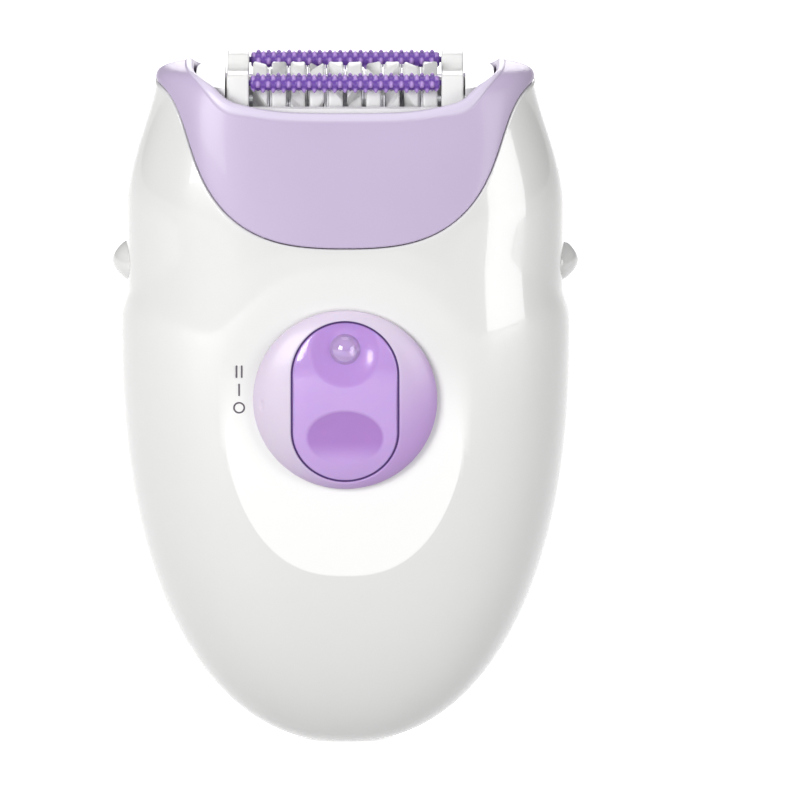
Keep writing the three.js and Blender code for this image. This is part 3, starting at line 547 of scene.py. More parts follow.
class Wardrobe:
    """Makes each finish's material once and hands it out."""

    def __init__(self) -> None:
        """Starts with nothing made."""
        self.made: dict[Finish, bpy.types.Material] = {}

    def material(self, finish: Finish) -> bpy.types.Material:
        """A finish's material, made when it is first asked for."""
        if finish not in self.made:
            self.made[finish] = finish.material()
        return self.made[finish]

    def dress(self, piece: bpy.types.Object, finish: Finish) -> None:
        """Gives a piece one finish all over."""
        piece.data.materials.clear()
        piece.data.materials.append(self.material(finish))

    def carry_over(self) -> int:
        """Gives every CAD node that still shows its slot's finish, and returns how many there are."""
        shown = [node for node in frame["nodes"].values() if not node.hide_render]
        for node in shown:
            node.data.materials[0] = self.material(FINISHES[slot_of(node)])
        return len(shown)


WARDROBE = Wardrobe()


def slot_of(node: bpy.types.Object) -> str:
    """The record's material slot of a CAD node."""
    return node.data.materials[0].name.split(".")[0]


def shown_as(
    piece: bpy.types.Object,
    node: str,
    finish: Finish | None = None,
    slot: str = "",
) -> bpy.types.Object:
    """Lets a piece stand for a CAD node: same body, same slot, with a finish.

    Args:
        piece: the finished piece.
        node: the CAD node it stands for.
        finish: its finish, or nothing for its slot's own.
        slot: the record's slot, or nothing for the CAD node's own.

    Returns:
        The piece.
    """
    slot = slot or slot_of(frame["nodes"][node])
    WARDROBE.dress(piece, finish or FINISHES[slot])
    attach(piece, BODY_OF[node])
    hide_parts(node)
    LOG.info("%s stands for %s on %s", piece.name, node, BODY_OF[node])
    return piece


def added_to(piece: bpy.types.Object, body: str, slot: str, finish: Finish | None = None) -> bpy.types.Object:
    """Lets a piece with no CAD node of its own ride on a body.

    Args:
        piece: the finished piece.
        body: the body it rides on.
        slot: the record's slot that it takes its finish from.
        finish: its finish, or nothing for its slot's own.

    Returns:
        The piece.
    """
    WARDROBE.dress(piece, finish or FINISHES[slot])
    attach(piece, body)
    LOG.info("%s added to %s", piece.name, body)
    return piece


def softened(node: str, width: float, name: str, segments: int = 2) -> bpy.types.Object:
    """A copy of a CAD node with its doubled points merged, its flats joined and its edges bevelled.

    Args:
        node: the CAD node.
        width: width of the bevel, in millimetres.
        name: name of the copy.
        segments: faces across each bevel.

    Returns:
        The copy.
    """
    mesh = frame["nodes"][node].data.copy()
    mesh.name = name
    work = bmesh.new()
    work.from_mesh(mesh)
    bmesh.ops.remove_doubles(work, verts=work.verts, dist=NODE_MERGE)
    bmesh.ops.dissolve_limit(
        work, angle_limit=math.radians(1.0), use_dissolve_boundaries=False, verts=work.verts, edges=work.edges
    )
    work.to_mesh(mesh)
    work.free()
    mesh.shade_smooth()
    mesh.set_sharp_from_angle(angle=math.radians(25.0))
    made = bpy.data.objects.new(name, mesh)
    bpy.context.scene.collection.objects.link(made)
    bevel = made.modifiers.new("bevel", "BEVEL")
    bevel.limit_method = "ANGLE"
    bevel.angle_limit = math.radians(28.0)
    bevel.width = width * MM
    bevel.segments = segments
    bevel.use_clamp_overlap = True
    return made


# ---- Handle ----------------------------------------------------------------------------------------
@dataclass(frozen=True)
class HandleForm:
    """The outside of the handle: an egg in front view, softly squared in plan."""

    bottom: float = -0.7
    widest: float = 37.2
    widest_at: float = 70.0
    grip_step: float = 1.15
    shoulder_drop: float = 5.2
    front: float = 20.9
    rear: float = 18.58
    deepest_at: float = 62.0
    squareness: float = 2.5
    bib_low: float = 87.6
    bib_rise: float = 24.4
    bib_sharpness: float = 1.8
    bib_weight: float = 2.8
    egg: tuple[float, float] = (2.3, 2.2)  # sharpness and bluntness of the egg in front view
    grip: tuple[float, float] = (72.3, 77.3)  # heights of the grip's step
    grip_ease: tuple[float, float] = (2.3, 9.0)  # how much further down and up it reaches at the front
    shoulders: tuple[float, float] = (91.0, 115.5)
    front_arch: tuple[float, float, float] = (2.5, 1.9, 12.0)  # bluntness, loss a and reach b of the depth
    rear_arch: tuple[float, float, float] = (2.4, 1.8, 14.0)

    def opened(self, z: Array, middle: float, sharp: float, blunt: float) -> Array:
        """Share of the full width below the middle: (1 - s^sharp)^(1/blunt), s the way down to the tip."""
        share = np.clip((middle - z) / (middle - self.bottom), 0.0, 1.0)
        return (1.0 - share**sharp) ** (1.0 / blunt)

    def half_width(self, z: Array, outward: Array | float = 1.0) -> Array:
        """Half width at a height: the egg below, then a step at the grip and a fall to the shoulders.

        Args:
            z: the height.
            outward: share of the half width that a point stands from the middle. The step is quick at 1 and
                slower inside it, so that it fades out towards the front.

        Returns:
            The half width.
        """
        below = self.widest * self.opened(z, self.widest_at, *self.egg)
        inside = 1.0 - np.asarray(outward) ** 8
        start, end = self.grip[0] - self.grip_ease[0] * inside, self.grip[1] + self.grip_ease[1] * inside
        grip = self.grip_step * smoothstep(start, end, z)
        above = self.widest - grip - self.shoulder_drop * smoothstep(*self.shoulders, z)
        return np.where(z < self.widest_at, below, above)

    def half_depth(self, z: Array, front: bool) -> Array:
        """Half depth at a height: egg below, and a (sqrt(1 + h^2/b^2) - 1) lost at h above its deepest."""
        full = self.front if front else self.rear
        blunt, loss, reach = self.front_arch if front else self.rear_arch
        below = full * self.opened(z, self.deepest_at, 2.0, blunt)
        above = full - loss * (np.sqrt(1.0 + ((z - self.deepest_at) / reach) ** 2) - 1.0)
        return np.where(z < self.deepest_at, below, above)

    def bib_edge(self, angle: Array) -> Array:
        """Height where the collar meets the handle: low in front and behind, high beside."""
        across = np.abs(np.cos(angle))
        up = across**self.bib_sharpness
        down = self.bib_weight * (1.0 - across) ** self.bib_sharpness
        return self.bib_low + self.bib_rise * up / (up + down)

    def skin(self, angle: Array, z: Array) -> Array:
        """A point of the outside: a squared oval in plan, angle 0 on +X and a quarter turn on +Y."""
        depth = np.where(np.sin(angle) < 0, self.half_depth(z, True), self.half_depth(z, False))
        exponent = 2.0 / self.squareness
        x = self.half_width(z) * signed_power(np.cos(angle), exponent)
        y = depth * signed_power(np.sin(angle), exponent)
        return np.stack(np.broadcast_arrays(x, y, z), axis=-1)


@dataclass
class Housing:
    """The two halves of the handle, with their rolled seam, rim, release windows and screw posts."""

    form: HandleForm
    wall: float = 2.0
    seam: float = 0.06  # each half's distance from the parting plane
    seam_roll: float = 0.32
    rim_gap: float = 0.02
    rim_roll: float = 0.45
    facet: float = 18.9  # depth of the flat track under the switch
    facet_blend: float = 0.35
    facet_edge: float = 0.04  # depth over which the track's painted highlight ends at its lower edge
    facet_fade: tuple[float, float] = (48.0, 64.0)  # heights between which the track's edge fades
    painted_highlight_fade: tuple[float, float] = (72.0, 56.0)  # heights between which the track's painted highlight comes in
    facet_sharp: float = 60.0  # the edge is shaded sharp below this height
    window_z: float = 81.2
    window_half_y: float = 5.1
    window_half_z: float = 3.8
    inlet: tuple[float, float] = (6.5, 3.9)
    foot: float = 0.1
    floor: float = 2.6
    lining_play: float = 0.2  # the lining's tip stands this much further up than the wall
    lining_low: float = 0.4  # its first row is this far above the floor
    edge_columns: int = 5  # columns on the rolled edge of a half
    hole_power: float = 2.0 / 3.0  # exponent of the inlet's oval
    columns: int = 96
    screw: tuple[float, float] = (15.0, 26.0)

    def side_heights(self) -> Array:
        """Heights of the rows beside the handle: close together at the foot and round the release windows."""
        foot = self.foot + (75.6 - self.foot) * np.linspace(0.0, 1.0, 64) ** 1.9
        around = self.window_z + self.window_half_z * np.sin(np.linspace(-QUARTER, QUARTER, 17))
        edge = np.array([around[0] - 0.9, around[0] - 0.3])
        top = self.form.bib_edge(np.array(0.0)) - self.rim_gap - self.rim_roll
        above = np.linspace(around[-1], top, 30)[1:]
        return np.concatenate([foot, edge, around, above])

    def seam_edge(self, z: Array) -> Array:
        """How far the half's edge is from the parting plane: the seam, or the release window's ellipse."""
        share = np.clip(1.0 - ((z - self.window_z) / self.window_half_z) ** 2, 0.0, None)
        return np.maximum(self.seam, self.window_half_y * np.sqrt(share))

    def angles(self, near: Array, depth: Array, power: float) -> Array:
        """Angles of the columns from one edge of the half round to the other, 0 on +X.

        The outer columns on each side stand at set distances from the parting plane. Those between are in
        equal steps of the angle.

        Args:
            near: distances of the outer columns, in rows and columns.
            depth: half depth, one to a row.
            power: exponent of the squared oval.

        Returns:
            The angles, in rows and columns.
        """
        outer = np.arcsin(np.clip(near / depth[:, None], 0.0, 1.0) ** (1.0 / power))
        t = np.linspace(0.0, 1.0, self.columns)[1:-1]
        start = outer[:, -1:]
        return np.concatenate([outer, start + (math.pi - 2 * start) * t, math.pi - outer[:, ::-1]], axis=1)

    def wall_side(self, heights: Array, front: bool, lined: bool) -> Array:
        """One side of the wall, outside or lining, with its columns following the edge of the half.

        Below the deepest place the lining takes its oval from a level further down, so that the wall keeps
        its thickness at the foot, and it is drawn in by the wall all over.

        Args:
            heights: height of each row beside the handle.
            front: the front half, or the rear one.
            lined: the lining, or the outside.

        Returns:
            The points.
        """
        form = self.form
        power = 2.0 / form.squareness
        shrink_x = 1.0 - self.wall / form.widest if lined else 1.0
        shrink_y = 1.0 - self.wall / form.front if lined else 1.0
        full = form.deepest_at - form.bottom

        def level(z: Array) -> Array:
            """The height whose oval a point takes."""
            below = form.deepest_at - z
            lower = form.deepest_at - below * full / (full - self.wall - self.lining_play)
            return np.where(below > 0, lower, z) if lined else z

        near = self.seam_edge(self.side_heights())[:, None] + self.near_columns()
        angle = self.angles(near, form.half_depth(level(heights), front) * shrink_y, power)
        top = form.bib_edge(angle) - self.rim_gap - self.rim_roll
        middle = form.widest_at
        row = heights[:, None]
        z = np.where(row < middle, row, middle + (row - middle) * (top - middle) / (heights[-1] - middle))
        depth = form.half_depth(level(z), front) * shrink_y
        across = depth * np.sin(angle) ** power
        across[:, : self.edge_columns] = near
        across[:, -self.edge_columns :] = near[:, ::-1]
        share = np.clip(across / depth, 0.0, 1.0) ** form.squareness
        outward = (1.0 - share) ** (1.0 / form.squareness)
        x = form.half_width(level(z), outward) * shrink_x * outward
        x = x * np.where(np.arange(x.shape[1]) < x.shape[1] / 2, 1.0, -1.0)
        return np.stack([x, (-across if front else across), z], axis=-1)

    def near_columns(self) -> Array:
        """How far the outer columns stand from the edge: roll (1 - cos a)."""
        return self.seam_roll * (1.0 - np.cos(np.linspace(0.0, QUARTER, self.edge_columns)))

    def half(self, front: bool) -> list[Surface]:
        """One half as a closed wall: outside, rolled rim, inside, and the inlet's hole at the foot.

        Args:
            front: the front half, or the rear one.

        Returns:
            The wall and the two faces of its seam.
        """
        form = self.form
        sign = -1.0 if front else 1.0
        heights = self.side_heights()
        outside = self.wall_side(heights, front, False)
        x, y, z = outside[..., 0], outside[..., 1], outside[..., 2]
        n = form.squareness
        slope_x = signed_power(x, n - 1) / form.half_width(z) ** n
        slope_y = signed_power(y, n - 1) / form.half_depth(z, front) ** n
        inward = -unit(np.stack([slope_x, slope_y, z * 0], axis=-1))
        rolled_in = np.zeros(x.shape[1])
        edge = self.edge_columns
        rolled_in[:edge] = self.seam_roll * (1.0 - np.sin(np.linspace(0.0, QUARTER, edge)))
        rolled_in[-edge:] = rolled_in[:edge][::-1]
        outside = outside + inward * rolled_in[None, :, None]
        if front:
            outside[..., 1] = -self.softly_flat(-outside[..., 1], outside[..., 2])
        steps = np.linspace(0.0, QUARTER, 5)[1:, None, None]
        up = np.array([0.0, 0.0, 1.0])
        rim = outside[-1] + self.rim_roll * (np.sin(steps) * up + (1 - np.cos(steps)) * inward[-1])

        window = self.window_z - self.window_half_z
        low = self.floor + self.lining_low
        raised = low + (heights - self.foot) * (window - low) / (window - self.foot)
        raised = np.where(heights < window, raised, heights)
        inside = self.wall_side(raised, front, True)[::-1]
        if front:
            inside[..., 1] = np.maximum(inside[..., 1], self.wall - self.facet)
        share = np.linspace(0.0, 1.0, 6)[1:-1, None, None]
        ledge = rim[-1] + (inside[0] - rim[-1]) * share

        half_x, half_y = self.inlet
        near = self.seam + self.near_columns()[None]
        angle = self.angles(near, np.full(1, half_y), self.hole_power)[0]
        hole_x = half_x * signed_power(np.cos(angle), self.hole_power)
        hole_y = half_y * np.sin(angle) ** self.hole_power
        hole = np.stack([hole_x, sign * hole_y, np.full_like(hole_x, self.foot)], axis=-1)[None]
        lifted_hole = hole + up * (self.floor - self.foot)
        outer = np.concatenate([hole, outside, rim])
        inner = np.concatenate([ledge, inside, lifted_hole])
        seams = [
            Surface(np.stack([outer[:, column], inner[::-1, column]]), ring_columns=False)
            for column in (0, -1)
        ]
        return [Surface(np.concatenate([outer, inner]), ring_rows=True, ring_columns=False), *seams]

    def softly_flat(self, depth: Array, z: Array) -> Array:
        """Depth of the front, eased on to the flat track above its middle, so that its edge fades there.

        The eased depth is F - s ln(1 + e^((F - d)/s)) for a depth d, the track's depth F and an ease s.
        """
        over = (self.facet - depth) / self.facet_blend
        eased = self.facet - self.facet_blend * np.logaddexp(0.0, over)
        return depth + (eased - depth) * smoothstep(*self.facet_fade, z)

    def flatten(self, shell: bpy.types.Object) -> None:
        """Cuts the front half's skin on the flat track's plane and lays what stands over it on the plane.

        The track also gets a painted highlight: its colour is made brighter than the rest.

        Args:
            shell: the front half.
        """
        plane = placed(np.array([0.0, -self.facet, 0.0]))
        work = bmesh.new()
        work.from_mesh(shell.data)
        for inset in (self.facet_edge * MM, 0.0):
            cut = bmesh.ops.bisect_plane(
                work, geom=work.verts[:] + work.edges[:] + work.faces[:], dist=SLIVER,
                plane_co=plane + np.array([0.0, inset, 0.0]), plane_no=(0.0, -1.0, 0.0),
            )
        for edge in (item for item in cut["geom_cut"] if isinstance(item, bmesh.types.BMEdge)):
            edge.smooth = edge.verts[0].co.z > self.facet_sharp * MM
        work.to_mesh(shell.data)
        work.free()
        places = np.empty(len(shell.data.vertices) * 3)
        shell.data.vertices.foreach_get("co", places)
        places = places.reshape(-1, 3)
        places[:, 1] = np.maximum(places[:, 1], plane[1])
        shell.data.vertices.foreach_set("co", places.ravel())
        shell.data.update()
        # Painted highlight: the flat track is coloured brighter, fading out at its edge and towards its top.
        height = places[:, 2] / MM
        nearness = self.facet_edge + self.facet_blend * smoothstep(*self.facet_fade, height)
        behind = (places[:, 1] - plane[1]) / MM
        paint_light_shares(shell.data, smoothstep(nearness, 0.0, behind) * smoothstep(*self.painted_highlight_fade, height))

    def post(self, side: float, profile: list[tuple[float, float]], ring: bool) -> Surface:
        """A turned screw post along Y at one of the two screws."""
        return turned(np.array(profile), Axis.Y, (side * self.screw[0], self.screw[1]), 0.25, 36, ring)

    def build(self) -> None:
        """Makes both halves."""
        front = mesh_of("housing_front", self.half(True))
        self.flatten(front)
        slot = block((-3.0, -25.0, 59.2), (3.0, -10.0, 72.2), 0.4)
        carved(front, [slot])
        posts = [
            self.post(side, [(-15.2, 0), (-15.2, 3), (3.6, 3), (3.6, 1.5), (-4, 1.5), (-4, 0)], False)
            for side in (-1.0, 1.0)
        ]
        joined(front, posts)
        shown_as(front, "front_shell")
        rear = mesh_of("housing_rear", self.half(False))
        bores = [
            self.post(side, [(11.1, 0), (11.1, 2.7), (20, 2.7), (20, 0)], False) for side in (-1.0, 1.0)
        ]
        carved(rear, bores)
        profile = [(4, 1.5), (4, 3.6), (13.6, 3.6), (13.6, 2.72), (11.1, 2.72), (11.1, 1.5)]
        rear_parts = [self.post(side, profile, True) for side in (-1.0, 1.0)]
        for side in (-1.0, 1.0):
            low, high = sorted((side * 24.5, side * 26.0))
            rear_parts.append(block((low, -3.0, 76.6), (high, 13.2, 81.6)))
        joined(rear, rear_parts)
        shown_as(rear, "rear_shell")


def joined(made: bpy.types.Object, surfaces: list[Surface]) -> bpy.types.Object:
    """Adds closed surfaces to an object's mesh, each as a body of its own.

    Args:
        made: the object.
        surfaces: what to add.

    Returns:
        The object.
    """
    extra = mesh_of("extra", surfaces)
    work = bmesh.new()
    work.from_mesh(made.data)
    work.from_mesh(extra.data)
    work.to_mesh(made.data)
    work.free()
    bpy.data.objects.remove(extra)
    return made


# ---- Head ------------------------------------------------------------------------------------------
@dataclass
class Collar:
    """The saddle-shaped collar of the head, from the handle's shoulders up to its lip."""

    form: HandleForm
    half_x: float = 24.9
    half_y: float = 13.6
    side: float = 114.88
    dip: float = 5.4
    bend: tuple[float, float] = (3.0, 0.9)  # the lip stays high beside the head for longer in front
    squareness: float = 4.0
    thickness: float = 1.5
    gap: float = 0.15
    bead: float = 0.22  # the lip stands this much proud of the collar
    bead_width: float = 1.55
    bead_fade: tuple[float, float] = (0.35, 0.3)  # the bead's height and its painted highlight end over these widths
    step: float = 1e-3  # difference from which slopes are taken
    edge_roll: float = 0.45
    columns: int = 224

    def point(self, angle: Array, share: Array) -> Array:
        """A point of the outside: share 0 on the bib's edge and 1 on the lip.

        It goes from edge to lip by s^(1.1 + 0.9 b) in plan and by 1 - (1-s)^(1 + b) in height, where
        b = |cos a|^3 is 1 beside the head and 0 in front.

        Args:
            angle: angle round the handle.
            share: share of the way up.

        Returns:
            The points.
        """
        edge = self.form.skin(angle, self.form.bib_edge(angle) + self.gap)
        exponent = 2.0 / self.squareness
        bend = np.where(np.sin(angle) < 0, *self.bend)
        lip = np.stack(
            [
                self.half_x * signed_power(np.cos(angle), exponent),
                self.half_y * signed_power(np.sin(angle), exponent),
                self.side - self.dip * np.abs(np.sin(angle)) ** bend,
            ],
            axis=-1,
        )
        beside = np.abs(np.cos(angle)) ** 3
        inward = np.clip(share, 0.0, 1.0) ** (1.1 + 0.9 * beside)
        upward = 1.0 - np.clip(1.0 - share, 0.0, 1.0) ** (1.0 + beside)
        ways = np.stack([inward, inward, upward], axis=-1)
        return edge + (lip - edge) * ways

    def frames(self, angle: Array, share: Array) -> tuple[Array, Array, Array]:
        """Points, outward normals and upward tangents, from differences of a small step."""
        here = self.point(angle, share)
        across = self.point(angle + self.step, share) - self.point(angle - self.step, share)
        higher, lower = np.minimum(1.0, share + self.step), np.maximum(0.0, share - self.step)
        up = self.point(angle, higher) - self.point(angle, lower)
        return here, unit(np.cross(across, up)), unit(up)

    def slope(self, angle: Array, low: Array, high: Array) -> Array:
        """Millimetres to a whole share between two shares that are one step apart."""
        return np.linalg.norm(self.point(angle, high) - self.point(angle, low), axis=-1) / self.step

    def build(self) -> None:
        """Makes the collar as one closed ring: outside, rounded lip, lining and rolled lower edge."""
        angle = full_circle(self.columns)[:, None] + 0.5 * TURN / self.columns
        ends = np.array([[0.0, 1.0]]) + angle * 0
        lower = self.slope(angle, ends[:, :1], ends[:, :1] + self.step)
        upper = self.slope(angle, ends[:, 1:] - self.step, ends[:, 1:])
        lip = (self.thickness + self.bead) / 2
        low = self.edge_roll / lower
        high = 1.0 - lip / upper
        run = np.concatenate([np.linspace(0.0, 0.8, 18), 1.0 - 0.2 * (1.0 - np.linspace(0.0, 1.0, 15)[1:])])
        share = low + (high - low) * run[None]
        here, normal, _ = self.frames(angle + share * 0, share)
        from_lip = (1.0 - share) * upper
        proud = self.bead * (1.0 - smoothstep(self.bead_width - self.bead_fade[0], self.bead_width, from_lip))
        outside = here + normal * proud[..., None]
        top, top_normal, top_up = self.frames(angle, high)
        middle = top + top_normal * (self.bead - lip)
        bend = np.linspace(0.0, math.pi, 13)[None, 1:-1, None]
        rounded = middle + lip * (np.cos(bend) * top_normal + np.sin(bend) * top_up)
        inner_share = np.linspace(1.0, 0.0, 16)[None] * high
        inner, inner_normal, _ = self.frames(angle + inner_share * 0, inner_share)
        lining = inner - inner_normal * self.thickness
        foot, foot_normal, foot_up = self.frames(angle, ends[:, :1])
        corner = foot + (foot_up - foot_normal) * self.edge_roll
        bend = np.linspace(0.0, QUARTER, 6)[None, :-1, None]
        rolled = corner + self.edge_roll * (np.sin(bend) * foot_normal - np.cos(bend) * foot_up)
        profile = np.concatenate([outside, rounded, lining, rolled], axis=1)
        # Painted highlight: the lip band and the rounded lip take the lighter lilac colour.
        painted_light = np.zeros(profile.shape[:2])
        end = share.shape[1]
        painted_light[:, :end] = 1.0 - smoothstep(self.bead_width - self.bead_fade[1], self.bead_width, from_lip)
        painted_light[:, end : end + rounded.shape[1]] = 1.0
        band = Surface(profile.transpose(1, 0, 2), ring_rows=True, painted_light=painted_light.T)
        collar = mesh_of("collar", [band], 60.0)
        shown_as(collar, "head_collar")


@dataclass
class MassageRoller:
    """A roller covered in low spikes, with a thin pin at each end."""

    y: float = 7.9
    z: float = 113.2
    core: float = 1.22
    tip: float = 1.75
    half_length: float = 15.5
    pitch: float = 1.68
    rows: int = 6
    pin: float = 0.5
    pin_end: float = 17.7

    def build(self, name: str, node: str, side: float) -> None:
        """Makes one roller.

        The radius is core + (tip - core) c, where c is cos(2 pi x / pitch) cos(rows a / 2) or 0 if that is
        less. Its peaks stand in rows along the roller, each row half a pitch from the next.

        Args:
            name: name of the piece.
            node: the CAD node it stands for.
            side: -1 for the front roller and 1 for the rear one.
        """
        angle = full_circle(8 * self.rows)
        x = np.linspace(-self.half_length + 0.25, self.half_length - 0.25, 218)
        ends = np.array([0.0, 0.45, 0.5, 0.5, 0.95, 1.12])
        ends_x = np.array([self.pin_end, self.pin_end, self.pin_end - 0.1, 15.5, 15.5, 15.42])
        wave = np.cos(TURN * x / self.pitch)[:, None] * np.cos(self.rows * angle / 2)[None]
        fade = smoothstep(0.0, 0.5, self.half_length - 0.2 - np.abs(x))[:, None]
        radius = self.core + (self.tip - self.core) * np.clip(wave, 0.0, None) * fade
        first = np.repeat(ends[:, None], angle.size, axis=1)
        # Painted shade: the valleys between the spikes, and the ends, take the darker purple; the spikes stay
        # lighter.
        low = 1.0 - smoothstep(0.05, 0.55, wave)
        painted_light = np.concatenate([first * 0 + 1.0, low, first * 0 + 1.0])
        radius = np.concatenate([first, radius, first[::-1]])
        along = np.concatenate([-ends_x, x, ends_x[::-1]])[:, None]
        across = side * self.y + radius * np.cos(angle)
        height = self.z + radius * np.sin(angle)
        roller = mesh_of(name, [Surface(Axis.X.points(along, across, height), painted_light=painted_light)], 55.0)
        shown_as(roller, node)


@dataclass
class Bracket:
    """An end bracket of the head, which carries the barrel's axle and the massage rollers' pins."""

    inner: float = 15.8
    outer: float = 19.4
    half_y: float = 9.2
    bottom: float = 99.8
    top: float = 114.7
    saddle: float = 112.6
    roller_y: float = 7.9
    ear: tuple[float, float] = (3.4, 2.6)  # each ear starts and is full this far inside its roller

    def build(self, name: str, node: str, side: float) -> None:
        """Makes one bracket as a prism along X.

        Args:
            name: name of the piece.
            node: the CAD node it stands for.
            side: 1 on the right and -1 on the left.
        """
        inner, outer = self.roller_y - self.ear[0], self.roller_y - self.ear[1]
        corners = [
            (-self.half_y, self.bottom), (self.half_y, self.bottom),
            (self.half_y, self.top), (outer, self.top), (inner, self.saddle),
            (-inner, self.saddle), (-outer, self.top), (-self.half_y, self.top),
        ]
        limits = sorted((side * self.inner, side * self.outer))
        outline = filleted(np.array(corners), 0.9, 6)
        made = mesh_of(name, [prism(outline, (limits[0], limits[1]), Axis.X, 0.35)])
        shown_as(made, node)


@dataclass
class Barrel:
    """The barrel of tweezers: lobed discs with pairs of thin gripping plates between them."""

    z: float = 107.5
    radius: float = 7.1
    hub: float = 4.9
    pitch: float = 3.1
    discs: int = 10
    width: float = 2.4
    axle: float = 1.5
    turn: float = TURN / 3 * 0.382
    lean: float = 0.2  # how far a disc's lobes turn along its width, in radians to a millimetre
    disc_edge: float = 0.4
    plate_hub: float = 2.6
    plate_faces: tuple[float, float] = (0.07, 0.32)  # a plate's two faces from the middle of its pair
    hub_half: float = 0.12

    def disc(self, index: int) -> Surface:
        """A lobed disc: hub + (radius - hub) S(cos 3(a - turn i)), where S rises smoothly from -0.85 to -0.2.

        Its lobes lean along the row, to one side on even discs and to the other on odd ones.
        """
        angle = full_circle(108)
        lobe = smoothstep(-0.85, -0.2, np.cos(3 * (angle - index * self.turn)))
        radius = self.hub + (self.radius - self.hub) * lobe
        outline = radius[:, None] * np.stack([np.cos(angle), np.sin(angle)], axis=-1)
        x = self.pitch * (index - (self.discs - 1) / 2)
        limits = (x - self.width / 2, x + self.width / 2)
        disc = prism(outline, limits, Axis.X, self.disc_edge, self.axle + BORE_PLAY)
        angle = self.lean * (-1) ** index * (disc.points[..., 0] - x)
        y, z = disc.points[..., 1], disc.points[..., 2]
        across = y * np.cos(angle) - z * np.sin(angle)
        up = y * np.sin(angle) + z * np.cos(angle)
        disc.points = Axis.X.points(disc.points[..., 0], across, self.z + up)
        return disc

    def plates(self, index: int) -> list[Surface]:
        """Two plates with three fingers each, on a common hub."""
        spread = np.array([[2.9, -0.7], [6.8, -0.45], [6.8, 0.45], [2.9, 0.7]])
        middle = np.arange(3)[:, None] * TURN / 3 + (index + 0.5) * self.turn
        angle = (middle + spread[:, 1]).ravel()
        radius = np.tile(spread[:, 0], 3)
        outline = filleted(radius[:, None] * np.stack([np.cos(angle), np.sin(angle)], axis=-1), 0.35, 4)
        x = self.pitch * (index - (self.discs - 1) / 2 + 0.5)
        centre = (0.0, self.z)
        hub = self.plate_hub * np.stack([np.cos(full_circle(32)), np.sin(full_circle(32))], axis=-1)
        bore = self.axle + BORE_PLAY
        near, far = self.plate_faces
        return [
            prism(outline, (x - far, x - near), Axis.X, 0.06, bore, centre),
            prism(outline, (x + near, x + far), Axis.X, 0.06, bore, centre),
            prism(hub, (x - self.hub_half, x + self.hub_half), Axis.X, 0.02, bore, centre),
        ]

    def build(self) -> None:
        """Makes every disc and pair of plates."""
        for index in range(self.discs):
            shown_as(mesh_of(f"barrel_disc_{index + 1}", [self.disc(index)]), f"tweezer_disc_{index + 1}")
        for index in range(self.discs - 1):
            plates = mesh_of(f"tweezer_plates_{index + 1}", self.plates(index))
            shown_as(plates, f"tweezer_pair_{index + 1}", SATIN)


